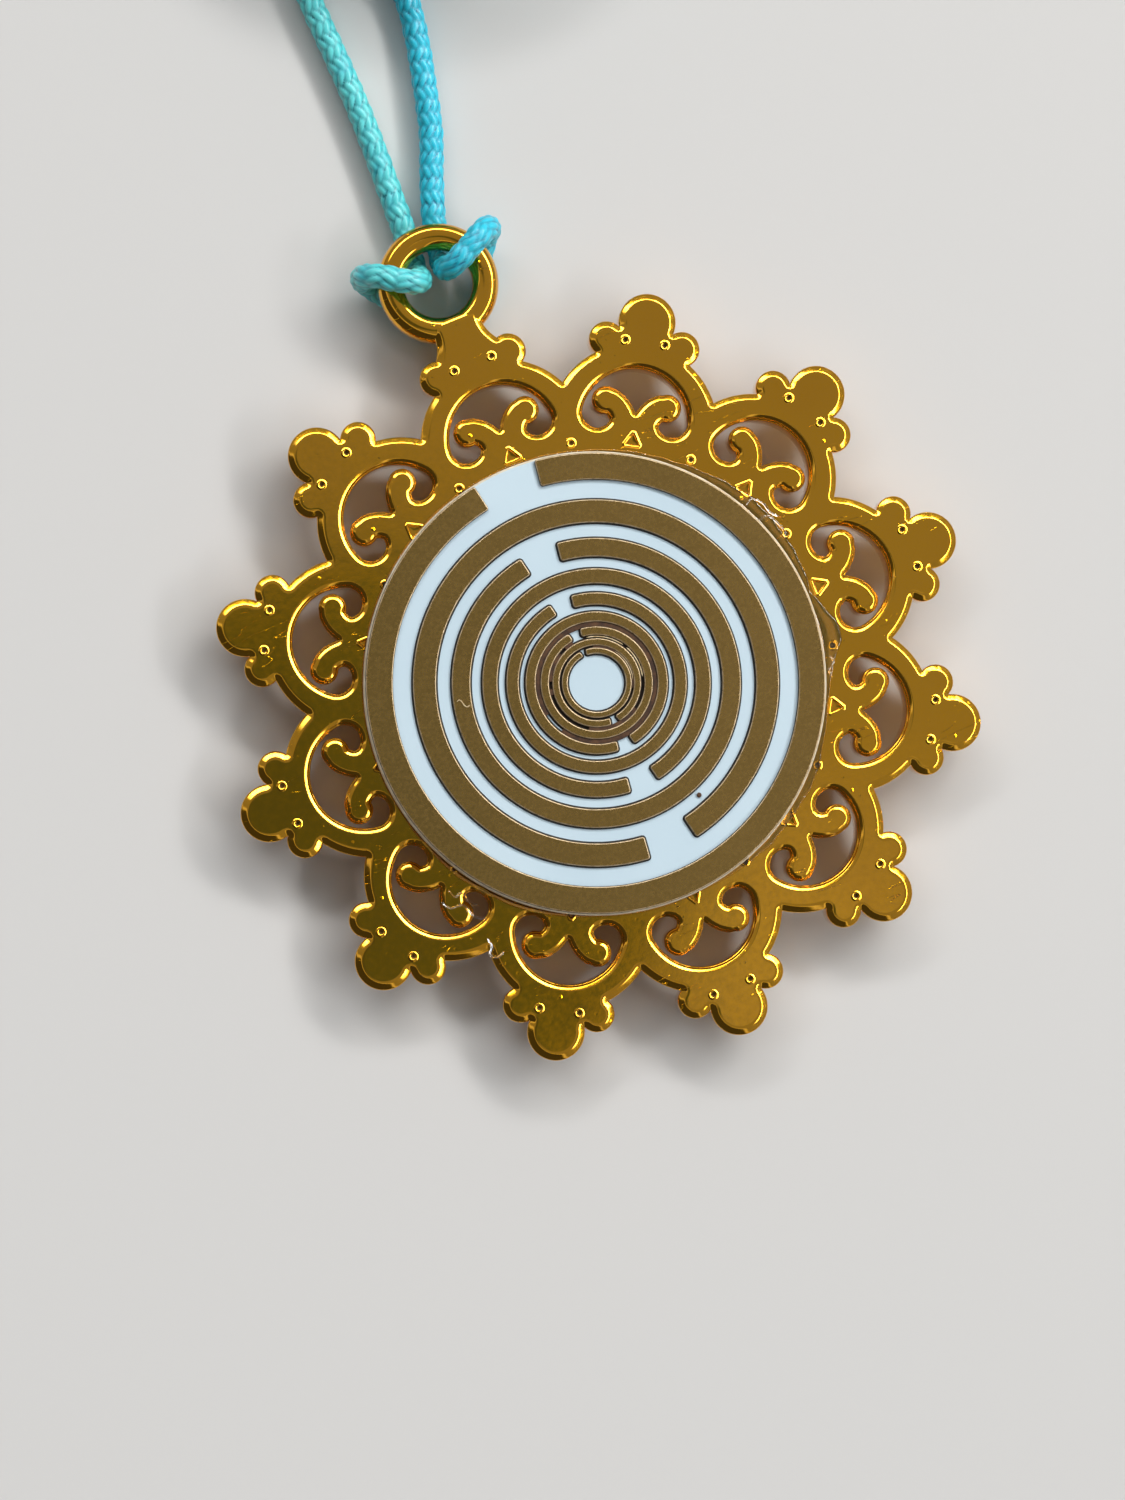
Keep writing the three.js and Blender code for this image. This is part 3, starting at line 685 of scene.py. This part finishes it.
# The end knot: each strand winds round the knot's line
KNOT_CENTRE = (28.0, 33.3, 1.65)
KNOT_HEADING = math.radians(-22)
KNOT_REACH, KNOT_TURNS = 2.1, 1.5
KNOT_WINDINGS = ((1.05, 0.75), (1.008, -0.75))  # of each strand: to the side and up
KNOT_SPAN = (0.12, 0.95)  # of the way along the knot
KNOT_POINTS, KNOT_SIDES, KNOT_STEP, KNOT_SHADE = 22, 40, 0.16, 0.3


def knot_object():
    """An overhand knot of both strands, with their two tails."""
    runs = []
    c, s = math.cos(KNOT_HEADING), math.sin(KNOT_HEADING)
    t = np.linspace(*KNOT_SPAN, KNOT_POINTS)
    angle = 2 * math.pi * t * KNOT_TURNS
    for end, tail, (wide, high) in zip(END_ROUTES, TAIL_ROUTES, KNOT_WINDINGS):
        x, y = KNOT_REACH * np.cos(math.pi * t), wide * np.sin(angle)
        loop = KNOT_CENTRE - np.column_stack((x * c - y * s, x * s + y * c, -high * np.cos(angle)))
        path, at = smooth_path(from_eye(np.vstack((end[-1:], loop, tail[1:]))), KNOT_STEP)
        runs.append((path, at, KNOT_SIDES))
    return cord_object("end_knot_cord", KNOT_SHADE, runs)


knot = dress(knot_object(), "cord", "cord", "end_knot")

# The cast pendant's outline
NECK_STEPS = 12
NECK_STRAIGHT = 0.66  # share of the neck's rise below its straight end
NECK_FLARE = 1.6  # the flare is gone at one part in this of the rise
NECK_END_GAP = 0.15  # from the eye's hole to the neck's end


def lobe_outline(with_tip):
    """One lobe, pointing along +Y, from its right valley to its left."""
    lobe, tip = (0, LOBE_CENTRE), (0, TIP_CENTRE)
    half = LOBE_STEP / 2
    reach = LOBE_CENTRE * math.cos(half) + math.sqrt(
        LOBE_RADIUS ** 2 - (LOBE_CENTRE * math.sin(half)) ** 2)
    valley = np.array([reach * math.sin(half), reach * math.cos(half)])
    low = meeting(lobe, LOBE_RADIUS, SHOULDER, SHOULDER_RADIUS)
    if with_tip:
        high = meeting(SHOULDER, SHOULDER_RADIUS, tip, TIP_RADIUS)
        start = angle_of(high, tip)
        middle = arc(*tip, TIP_RADIUS, start, math.pi - start)
    else:
        dx = NECK_FOOT - SHOULDER[0]
        high = np.array([NECK_FOOT, SHOULDER[1] + math.sqrt(SHOULDER_RADIUS ** 2 - dx * dx)])
        up = np.append(np.linspace(0, NECK_STRAIGHT, NECK_STEPS), 1)
        flare = (NECK_FOOT - NECK_HALF) * np.clip(1 - up * NECK_FLARE, 0, 1) ** 2
        end = EYE_CENTRE - EYE_HOLE - NECK_END_GAP
        rise = np.column_stack((NECK_HALF + flare, high[1] + (end - high[1]) * up))
        middle = np.vstack((rise, mirrored(rise)))
    flank = arc(*lobe, LOBE_RADIUS, angle_of(valley, lobe), angle_of(low, lobe))
    shoulder = arc(*SHOULDER, SHOULDER_RADIUS, angle_of(low, SHOULDER), angle_of(high, SHOULDER))
    return [flank, shoulder, middle, mirrored(shoulder), mirrored(flank)]


# The pierced crescents: an arch, two curls, and a head with a cusp
ARCH_CENTRE, ARCH_RADIUS = 13.92, 2.92
CURL = (2.07, 14.2)
CURL_END = math.radians(-136)
CURL_STEP = 0.09
HEAD_SHARES = (-0.445, 0.866, 0.915)  # of the curl's radius: across, along, radius
HEAD_START, HEAD_END = math.radians(-100), math.radians(114)
POCKET_SHARES = ((-0.74, -0.66), (-0.83, -0.52), (-0.85, -0.38), (-0.8, -0.25), (-0.72, -0.14))
CUSP_SHARE = 0.3
NECK_SHARES = ((0.718, 0.923), (0.618, 0.878), (0.494, 0.78), (0.386, 0.675), (0.294, 0.561),
               (0.212, 0.439), (0.141, 0.317), (0.071, 0.171))


def opening_outline():
    """One pierced crescent with its two curls, the solid on its left."""
    dx, dy = CURL[0], CURL[1] - ARCH_CENTRE
    radius = ARCH_RADIUS - math.hypot(dx, dy)
    meet = math.atan2(dy, dx)
    head = np.array([CURL[0] + HEAD_SHARES[0] * radius, CURL[1] + HEAD_SHARES[1] * radius])
    head_radius = HEAD_SHARES[2] * radius
    cusp = CURL[1] + CUSP_SHARE * radius
    rise = head[1] + head_radius - cusp
    right = joined([
        arc(0, ARCH_CENTRE, ARCH_RADIUS, math.pi / 2, meet),
        arc(*CURL, radius, meet, CURL_END, CURL_STEP),
        np.array([[CURL[0] + a * radius, CURL[1] + b * radius] for a, b in POCKET_SHARES]),
        arc(*head, head_radius, HEAD_START, HEAD_END, CURL_STEP),
        np.array([[a * head[0], cusp + b * rise] for a, b in NECK_SHARES]),
        np.array([[0, cusp]]),
    ])
    return np.vstack((right, mirrored(right[1:-1])))


# The plate's edges: distance in from the outline, and depth below the top
OUTER_EDGE = [(0.5, 0), (0.46, 0.001), (0.42, 0.004), (0.38, 0.011), (0.35, 0.02), (0.32, 0.032),
              (0.25, 0.064), (0.18, 0.097), (0.11, 0.13), (0.06, 0.155), (0.03, 0.177), (0.01, 0.215),
              (0, 0.28), (0, 1.42), (0.02, 1.52), (0.09, 1.6)]
OPENING_EDGE = [(0.35, 0), (0.33, 0.002), (0.31, 0.008), (0.29, 0.016), (0.24, 0.039), (0.19, 0.062),
                (0.145, 0.083), (0.128, 0.105), (0.118, 0.15), (0.1, 0.176), (0.06, 0.195), (0.03, 0.212),
                (0.01, 0.245), (0, 0.32), (-0.02, 1.44), (0, 1.54), (0.06, 1.6)]
# A recess: its raised ring, and then its wall
RECESS_RING = [(0.1, 0), (0.085, -0.005), (0.065, -0.014), (0.03, -0.031), (0.01, -0.036),
               (-0.01, -0.031), (-0.05, -0.012)]
RECESS_WALL = [(-0.075, 0.002), (-0.09, 0.03), (-0.1, 0.12)]
RECESS_DISH = 0.03  # of its floor's middle below the wall's foot
PIT_RADIUS, PIT_STEPS = 0.2, 14
TIP_PIT, WEB_PIT_CENTRE = (1.09, 18.27), 12.71
WEDGE_APEX, WEDGE_BASE, WEDGE_HALF = 13.42, 12.56, 0.51
WEDGE_POINTS = (0.12, 0.5, 0.88)  # along each side, so that its corners are cut


def below_top(edge):
    return [(inward, PLATE_TOP - depth) for inward, depth in edge]


def pit_loop(x, y):
    """A small round recess, the solid on its left."""
    return arc(x, y, PIT_RADIUS, 0, -2 * math.pi, 2 * math.pi * PIT_RADIUS / PIT_STEPS)[:-1]


def wedge_loop():
    corners = [(0, WEDGE_APEX), (WEDGE_HALF, WEDGE_BASE), (-WEDGE_HALF, WEDGE_BASE)]
    return np.array([(x0 + (x1 - x0) * t, y0 + (y1 - y0) * t)
                     for (x0, y0), (x1, y1) in zip(corners, corners[1:] + corners[:1])
                     for t in WEDGE_POINTS])


def pendant_object():
    solid = Solid()
    tops, bottoms = [], []
    outline = joined([turn(run, -i * LOBE_STEP) for i in reversed(range(LOBES))
                      for run in lobe_outline(i != 0)])
    opening = opening_outline()
    for loop, edge in [(outline, OUTER_EDGE)] + [(turn(opening, -i * LOBE_STEP), OPENING_EDGE)
                                                 for i in range(LOBES)]:
        top, bottom = solid.walls(loop, below_top(edge))
        tops.append(top)
        bottoms.append(bottom)
    profile = below_top(RECESS_RING + RECESS_WALL)
    foot = profile[-1][1]
    # The round recesses are dark and dull inside, a painted shade, and the wedges are bright
    web = WEB_PIT_CENTRE * math.sin(LOBE_STEP / 2), WEB_PIT_CENTRE * math.cos(LOBE_STEP / 2)
    recesses = [(pit_loop(*TIP_PIT), 1), (pit_loop(-TIP_PIT[0], TIP_PIT[1]), 1), (pit_loop(*web), 1),
                (wedge_loop(), 0)]
    for i in range(LOBES):
        for loop, kind in recesses:
            kinds = [0] * (len(RECESS_RING) - 1) + [kind] * len(RECESS_WALL)
            top, floor = solid.walls(turn(loop, -i * LOBE_STEP), profile, kinds)
            tops.append(top)
            n = len(floor)
            middle = [[*floor.mean(0), foot - RECESS_DISH]]
            solid.add(np.vstack((np.column_stack((floor, np.full(n, foot))), middle)),
                      [(k, (k + 1) % n, n) for k in range(n)], kind)
    solid.cap(tops, PLATE_TOP)
    solid.cap(bottoms, PLATE_BOTTOM, up=False)
    return solid.make("pendant_casting", [GOLD, PAINTED_PIT_SHADE], (0, ROSETTE_Y, 0))


EYE_HALF_HEIGHT, EYE_DROP = 0.7, 0.05  # of its crown below the plate's face
EYE_POWERS = (0.95, 0.8)  # across and up; below 1 is squarer than an ellipse
EYE_SECTION_STEPS, EYE_STEPS = 40, 128


def eye_object():
    solid = Solid()
    mid_z = PLATE_TOP - EYE_DROP - EYE_HALF_HEIGHT
    mid_r, half_r = (EYE_HOLE + EYE_OUTER) / 2, (EYE_OUTER - EYE_HOLE) / 2
    a = np.linspace(0, 2 * math.pi, EYE_SECTION_STEPS + 1)
    c, s = (np.sign(v) * abs(v) ** power for v, power in zip((np.cos(a), np.sin(a)), EYE_POWERS))
    profile = np.column_stack((mid_r + half_r * c, mid_z + EYE_HALF_HEIGHT * s))
    solid.turned(profile, EYE_STEPS, (0, EYE_CENTRE))
    return solid.make("eye", [GOLD], (0, ROSETTE_Y, 0))


TRAY_CLEARANCE, TRAY_REACH = 0.05, 0.6  # of its two walls past the disc
TRAY_ROUNDING, TRAY_OVERLAP, TRAY_STEPS = 0.16, 0.1, 180


def tray_object():
    """The rim on the back, rounded below, that ends inside the plate."""
    solid = Solid()
    inner, outer, edge = DISC_RADIUS + TRAY_CLEARANCE, DISC_RADIUS + TRAY_REACH, TRAY_ROUNDING
    top = PLATE_BOTTOM + TRAY_OVERLAP
    profile = [(inner, top), (inner, edge)]
    for middle, angles in ((inner + edge, (150, 120, 90)), (outer - edge, (90, 60, 30, 0))):
        profile += [(middle + edge * math.cos(a), edge - edge * math.sin(a)) for a in np.radians(angles)]
    profile += [(outer, top), (inner, top)]
    solid.turned(profile, TRAY_STEPS)
    return solid.make("tray", [GOLD], (0, ROSETTE_Y, 0))


casting = pendant_object()
union(casting, [eye_object(), tray_object()])
dress(casting, "pendant", "gold_cast", "pendant_frame")

# The disc
DISC_AT = (DISC_OFFSET[0], ROSETTE_Y + DISC_OFFSET[1], 0)
BANDS = 9
BAND_STEP_SHARE = 0.79  # of a band's outer radius, for the next one's
BAND_INNER_SHARE = 0.885  # of a band's outer radius, for its inner one
GROOVE_WIDENING = 0.12
GATE_SHARE, GATE_NARROWING = 0.307, 0.3  # of the radius for its width, and less by this
GATE_TURNS = (math.radians(1.3), math.radians(2.4))  # of the upper and lower gates
RIM_SET_BACK = 0.11  # of band 1 behind the disc's edge


def band_radii(index):
    outer = DISC_RADIUS * BAND_STEP_SHARE ** index
    return outer, outer * BAND_INNER_SHARE - GROOVE_WIDENING


def core_object():
    solid = Solid()
    r, top = DISC_RADIUS, CORE_TOP
    profile = [(0, CORE_BOTTOM), (r - 0.1, CORE_BOTTOM), (r, CORE_BOTTOM + 0.08), (r, top - 0.22),
               (r - 0.015, top - 0.1), (r - 0.05, top - 0.03), (r - 0.12, top), (r - 0.35, top), (0, top)]
    solid.turned(profile, 240, kinds=[0, 0, 0, 0, 0, 0, 1, 1])
    return solid.make("disc_core_body", [EDGE, CORE], DISC_AT)


# A band's edge: distance in from its outline, and height
BAND_EDGE = [(0.06, CAP_TOP), (0.035, CAP_TOP - 0.008), (0.01, CAP_TOP - 0.035), (-0.005, CAP_TOP - 0.07)]
BAND_FOOT = [(-0.07, CORE_TOP + 0.01), (-0.085, CORE_TOP)]
RIM_FOOT = [(-0.01, CORE_TOP + 0.01), (-0.015, CORE_TOP)]
BAND_CORNER, BAND_CORNER_SHARE = 0.14, 0.3  # its radius, and its most, of the width
BAND_ARC_STEP, BAND_CORNER_STEP = 0.16, 0.04


def band_object(index):
    """A ring with a gate cut out of it, its four corners rounded."""
    outer, inner = band_radii(index)
    outer -= RIM_SET_BACK if index == 0 else 0
    middle = math.pi / 2 + GATE_TURNS[0] if index % 2 == 0 else GATE_TURNS[1] - math.pi / 2
    corner = min(BAND_CORNER, (outer - inner) * BAND_CORNER_SHARE)
    runs = []
    for radius, towards in ((outer, -1), (inner, 1)):
        centre_radius = radius + towards * corner

        def rounding(angle, quarter):
            return arc(centre_radius * math.cos(angle), centre_radius * math.sin(angle), corner,
                       angle + quarter * math.pi / 2, angle + (quarter + 1) * math.pi / 2, BAND_CORNER_STEP)

        half = math.asin((GATE_SHARE - GATE_NARROWING / radius) / 2) + corner / centre_radius
        # Anticlockwise along the outer edge, and back along the inner one
        first, last = (middle + half, middle + 2 * math.pi - half)[::-towards]
        runs += [rounding(first, towards), arc(0, 0, radius, first, last, BAND_ARC_STEP),
                 rounding(last, towards + 1)]
    solid = Solid()
    profile = BAND_EDGE + (RIM_FOOT if index == 0 else BAND_FOOT)
    # The bevel's two strips get the paler painted highlight; the wall below them is near black
    top, bottom = solid.walls(joined(runs), profile, kinds=[1, 1, 2, 2, 2])
    solid.cap([top], CAP_TOP)
    solid.cap([bottom], CORE_TOP, up=False, kind=2)
    return solid.make(f"band_{index + 1}", [CAP, CAP_BEVEL_HIGHLIGHT, CAP_WALL], DISC_AT)


dress(core_object(), "pendant", "disc_core", "disc_core")
for index in range(BANDS):
    dress(band_object(index), "pendant", "disc_cap", f"disc_band_{index + 1}")

# The glue's reach past the disc, by the angle in the photo
GLUE_REACH = [(-90, 0.1), (-60, 0.16), (-42, 0.5), (-22, 0.6), (-4, 0.35), (4, 0.6), (10, 1.25),
              (15, 1.3), (19, 0.8), (23, 0.45), (31, 0.7), (38, 0.85), (48, 0.9), (60, 0.65), (75, 0.4),
              (95, 0.25), (130, 0.16), (170, 0.08), (215, 0.08), (236, 0.3), (252, 0.3), (270, 0.1)]
# Across the glue: share of its reach, and height
GLUE_SECTION = [(0.0, 0.34), (0.06, 0.24), (0.14, 0.15), (0.28, 0.1), (0.5, 0.08), (0.72, 0.075),
                (0.86, 0.07), (0.94, 0.05), (0.985, 0.024), (1.0, 0.0)]
GLUE_STEPS, GLUE_SEED, GLUE_WAVES = 540, 11, (9, 14, 21, 33, 47, 62)
GLUE_RIPPLE = 0.14  # share of the reach by which it waves
GLUE_GAP = 0.003  # from the plate
GLUE_SET_BACK, GLUE_OVERLAP = 0.25, 0.02  # of its inner wall and its bead, into the disc


def glue_object():
    """A thin film of glue with a wavy edge, out past the disc."""
    solid = Solid()
    steps = GLUE_STEPS
    angles = np.linspace(0, 2 * math.pi, steps, endpoint=False)
    rng = np.random.default_rng(GLUE_SEED)
    ripple = sum(rng.uniform(0.3, 1) * np.sin(k * angles + rng.uniform(0, 2 * math.pi))
                 for k in GLUE_WAVES) / 3
    azimuth = (np.degrees(angles + PHOTO_TURN) + 90) % 360 - 90
    reach = np.interp(azimuth, *zip(*GLUE_REACH)) * (1 + GLUE_RIPPLE * ripple)
    inner, floor = DISC_RADIUS - GLUE_SET_BACK, PLATE_TOP + GLUE_GAP
    start, ceiling = DISC_RADIUS - GLUE_OVERLAP, CORE_BOTTOM - 0.004
    rings = [(inner, floor), (inner, ceiling), (start, ceiling)]
    rings += [(start + reach * share, floor + height * np.minimum(1, reach * 3))
              for share, height in GLUE_SECTION]
    verts = [np.column_stack((r * np.cos(angles), r * np.sin(angles), np.broadcast_to(z, steps)))
             for r, z in rings]
    solid.add(np.concatenate(verts), [face for r in range(len(rings))
                                      for face in strip(steps, r, (r + 1) % len(rings))])
    return solid.make("glue_bead", [GLUE], DISC_AT)


THREAD_SIDES, THREAD_STEP = 8, 0.06


def threads_object(name, material, threads):
    """Thin threads with tapered ends, each given by its points and radius."""
    solid = Solid()
    for points, radius in threads:
        path, at = smooth_path(points, THREAD_STEP)
        tangents = tangents_of(path, at)
        side = np.cross(tangents, [0, 0, 1.0])
        side /= np.linalg.norm(side, axis=1)[:, None]
        share = at / at[-1]
        taper = np.minimum(1, np.minimum(share, 1 - share) * 12 + 0.15)
        radii = np.repeat((radius * taper)[:, None], THREAD_SIDES, 1)
        solid.add(*tube(path, radii, side, np.cross(side, tangents)))
    return solid.make(name, [material])


# Dried glue strings, as places in the photo
GLUE_STRINGS = [
    [(744, 508), (752, 499), (763, 503), (770, 512), (781, 517)],
    [(757, 521), (768, 516), (779, 524), (788, 536)],
    [(829, 655), (834, 662), (829, 670), (833, 677)],
    [(448, 889), (455, 897), (462, 893), (470, 903), (479, 906)],
    [(441, 902), (451, 908), (463, 905), (474, 916), (486, 919)],
    [(487, 938), (492, 946), (490, 955), (498, 957), (505, 951)],
]
STRING_RADIUS = 0.05


def strings_object():
    return threads_object("glue_strings", GLUE, [
        ([on_photo(x, y, PLATE_TOP + STRING_RADIUS) for x, y in run], STRING_RADIUS)
        for run in GLUE_STRINGS])


# Half-cut grooves: ring, two angles in the photo, and drop below the cap
HALF_CUT_RINGS = [(5, 234, 573, 0.09), (6, 260, 327, 0.06), (6, 121, 133, 0.06), (6, 142, 179, 0.06),
                  (6, 188, 196, 0.06), (7, 352, 456, 0.06)]
HALF_CUT_GAP = 0.03  # to the bands beside it
SPECK = (699, 795)  # a dark grain's place in the photo
SPECK_SECTION = [(0, 0), (0.1, 0), (0.14, 0.06), (0.09, 0.13), (0, 0.15)]
ON_CORE = CORE_TOP + 0.004


def remains_object():
    """What the cutter left in the narrow grooves, and one dark grain."""
    solid = Solid()
    for ring, start, end, drop in HALF_CUT_RINGS:
        low, high = band_radii(ring + 1)[0] - HALF_CUT_GAP, band_radii(ring)[1] + HALF_CUT_GAP
        loop = joined([arc(0, 0, high, from_photo(start), from_photo(end), 0.1),
                       arc(0, 0, low, from_photo(end), from_photo(start), 0.1)])
        height = CAP_TOP - drop
        top, bottom = solid.walls(loop, [(0.02, height), (0.0, height - 0.02), (0.0, ON_CORE)])
        solid.cap([top], height)
        solid.cap([bottom], ON_CORE, up=False)
    x, y, z = on_photo(*SPECK, ON_CORE)
    solid.turned([(r, z + rise) for r, rise in SPECK_SECTION], 9, (x - DISC_AT[0], y - DISC_AT[1]))
    return solid.make("half_cut_rings", [HALF_CUT], DISC_AT)


CURL_BURR = [(457, 702), (459, 700), (461, 701), (464, 705), (467, 707), (470, 705)]
CURL_BURR_RADIUS = 0.028
# Burrs in narrow grooves: ring, two angles in the photo, radius
GROOVE_BURRS = ((6, 8, 50, 0.035), (6, 55, 103, 0.03), (7, 5, 60, 0.02))
GROOVE_BURR_DROP = 0.04


def burrs_object():
    """A curl on a band, and the burrs left in narrow rings."""
    threads = [([on_photo(x, y, CAP_TOP + 0.03) for x, y in CURL_BURR], CURL_BURR_RADIUS)]
    for ring, start, end, radius in GROOVE_BURRS:
        r = (band_radii(ring + 1)[0] + band_radii(ring)[1]) / 2
        run = arc(*DISC_AT[:2], r, from_photo(start), from_photo(end), 0.25)
        threads.append(([(x, y, CAP_TOP - GROOVE_BURR_DROP) for x, y in run], radius))
    return threads_object("burrs", BURR, threads)


dress(glue_object(), "pendant", "glue", "glue_layer")
dress(strings_object(), "pendant", "glue")
dress(remains_object(), "pendant", "disc_cap")
dress(burrs_object(), "pendant", "disc_cap")

# The tie round the coil
TIE_THICKNESS, TIE_WIDTH, TIE_CLEARANCE, TIE_CORNER = 0.25, 3.0, 0.3, 1.1
TIE_ANGLE = math.radians(-35)
TIE_CORNER_STEPS = 7
TIE_EDGE = 0.08  # of the outer face behind the tie's edge


def tie_object():
    reach = COIL_STEP / (2 * math.pi)
    room = CORD_RADIUS + TIE_CLEARANCE
    x0, x1 = COIL_OUTER - COIL_STEP * TURNS_IN - reach - room, COIL_OUTER + room
    z0, z1 = TIE_THICKNESS, FIRST_LAYER + 3 * LAYER_STEP + room

    def loop(grow):
        c = TIE_CORNER + grow
        left, right, low, high = x0 - grow + c, x1 + grow - c, z0 - grow + c, z1 + grow - c
        return np.vstack([
            arc(x, z, c, math.radians(a), math.radians(a + 90), c * math.pi / 2 / TIE_CORNER_STEPS)
            for x, z, a in ((right, low, -90), (right, high, 0), (left, high, 90), (left, low, 180))])

    inner, outer = loop(0), loop(TIE_THICKNESS)
    middle, half = outer * 0.6 + inner * 0.4, TIE_WIDTH / 2
    rows = [(outer, TIE_EDGE - half), (outer, half - TIE_EDGE), (middle, half), (inner, half),
            (inner, -half), (middle, -half)]
    c, s = math.cos(TIE_ANGLE), math.sin(TIE_ANGLE)
    verts = [(x * c - y * s + COIL_CENTRE[0], x * s + y * c + COIL_CENTRE[1] + EYE_Y, z)
             for points, y in rows for x, z in points]
    faces = [face for r in range(len(rows)) for face in strip(len(inner), r, (r + 1) % len(rows))]
    obj = mesh_object("tie_band", verts, faces, [TIE])
    obj.data.set_sharp_from_angle(angle=math.radians(50))
    return obj


tie = dress(tie_object(), "cord", "tie", "coil_tie")

# The floor and the light
FLOOR_HALF = 2000
KEY_POWER, KEY_SIZE, KEY_COLOR = 0.8, (0.34, 0.1), (1, 0.985, 0.95)
KEY_AZIMUTH, KEY_ELEVATION = 45, 40  # degrees, from the photo's right, and up
KEY_DISTANCE = 0.5
LIT_SIDE = from_photo(50)  # where the sky is brightest
WORLD_STRENGTH = 2.0


def floor_object():
    h = FLOOR_HALF
    material = material_nodes("floor").finish(Base_Color=(0.66, 0.652, 0.64, 1), Roughness=0.9)
    return mesh_object("floor", [(-h, -h, 0), (h, -h, 0), (h, h, 0), (-h, h, 0)], [range(4)], [material])


def key_light():
    """A soft box aimed at the object."""
    light = bpy.data.lights.new("key", "AREA")
    light.energy, light.shape, light.color = KEY_POWER, "RECTANGLE", KEY_COLOR
    light.size, light.size_y = KEY_SIZE
    obj = linked("key", light)
    azimuth, rise = from_photo(KEY_AZIMUTH), math.radians(KEY_ELEVATION)
    way = Vector((math.cos(azimuth) * math.cos(rise), math.sin(azimuth) * math.cos(rise), math.sin(rise)))
    obj.location = way * KEY_DISTANCE
    obj.rotation_euler = (-way).to_track_quat("-Z", "Y").to_euler()


def grey(value):
    return (value,) * 3


# The sky by its place from the dark side, -1, to the lit side, 1
SKY = [(-1, 0.03), (-0.42, 0.03), (-0.39, 0.4), (-0.35, 0.4), (-0.32, 0.13), (-0.2, 0.15), (0.3, 0.155),
       (0.6, 0.17), (1, 0.17)]
# Patches overhead: right and up in the photo, inner and outer radius, colour
PATCHES = [(0.15, -0.035, 0.03, 0.07, grey(0.24)), (0.03, 0.0, 0.075, 0.1, (0.042, 0.06, 0.045)),
           (-0.18, -0.02, 0.14, 0.22, (0.036, 0.046, 0.04))]


def world_light():
    """Dark behind, plain overhead, and a long low bright band on the lit side."""
    world = bpy.data.worlds.new("world")
    bpy.context.scene.world = world
    w = Nodes(world, "Generated")
    way = w.at
    lit_way = (math.cos(LIT_SIDE), math.sin(LIT_SIDE), 0)
    side = w.vector("DOT_PRODUCT", way, lit_way, out="Value")
    sky = w.ramp(w.level(side, -1, 1), *[((t + 1) / 2, grey(v)) for t, v in SKY])
    for right, up, inner, outer, color in PATCHES:
        spot_way = photo_right * right + photo_up * up + Vector((0, 0, 1))
        spot = w.vector("DISTANCE", way, spot_way, out="Value")
        sky = w.mix(w.level(spot, inner, outer, 0.9, 0.0), sky, color)
    height = w.node("SeparateXYZ", {0: way}).outputs["Z"]
    flat_way = w.vector("NORMALIZE", w.vector("MULTIPLY", way, (1, 1, 0)))
    towards = w.vector("DOT_PRODUCT", flat_way, lit_way, out="Value")
    band_rise = w.math("MULTIPLY", w.level(height, 0.59, 0.61), w.level(height, 0.69, 0.67))
    sky = w.mix(w.math("MULTIPLY", w.level(towards, -0.1, 0.15), band_rise), sky, grey(6.0))
    sky = w.mix(w.level(height, 0.04, 0.14), grey(0.06), sky)
    # The camera sees a pale horizon, like the floor's far end
    seen = w.node("LightPath").outputs["Is Camera Ray"]
    sky = w.mix(w.math("MULTIPLY", seen, w.level(height, 0.2, 0.1)), sky, grey(0.4))
    background = w.tree.nodes["Background"]
    w.put(background.inputs["Color"], sky)
    w.put(background.inputs["Strength"], WORLD_STRENGTH)


floor_object()
key_light()
world_light()
bpy.context.scene.view_settings.view_transform = "Standard"
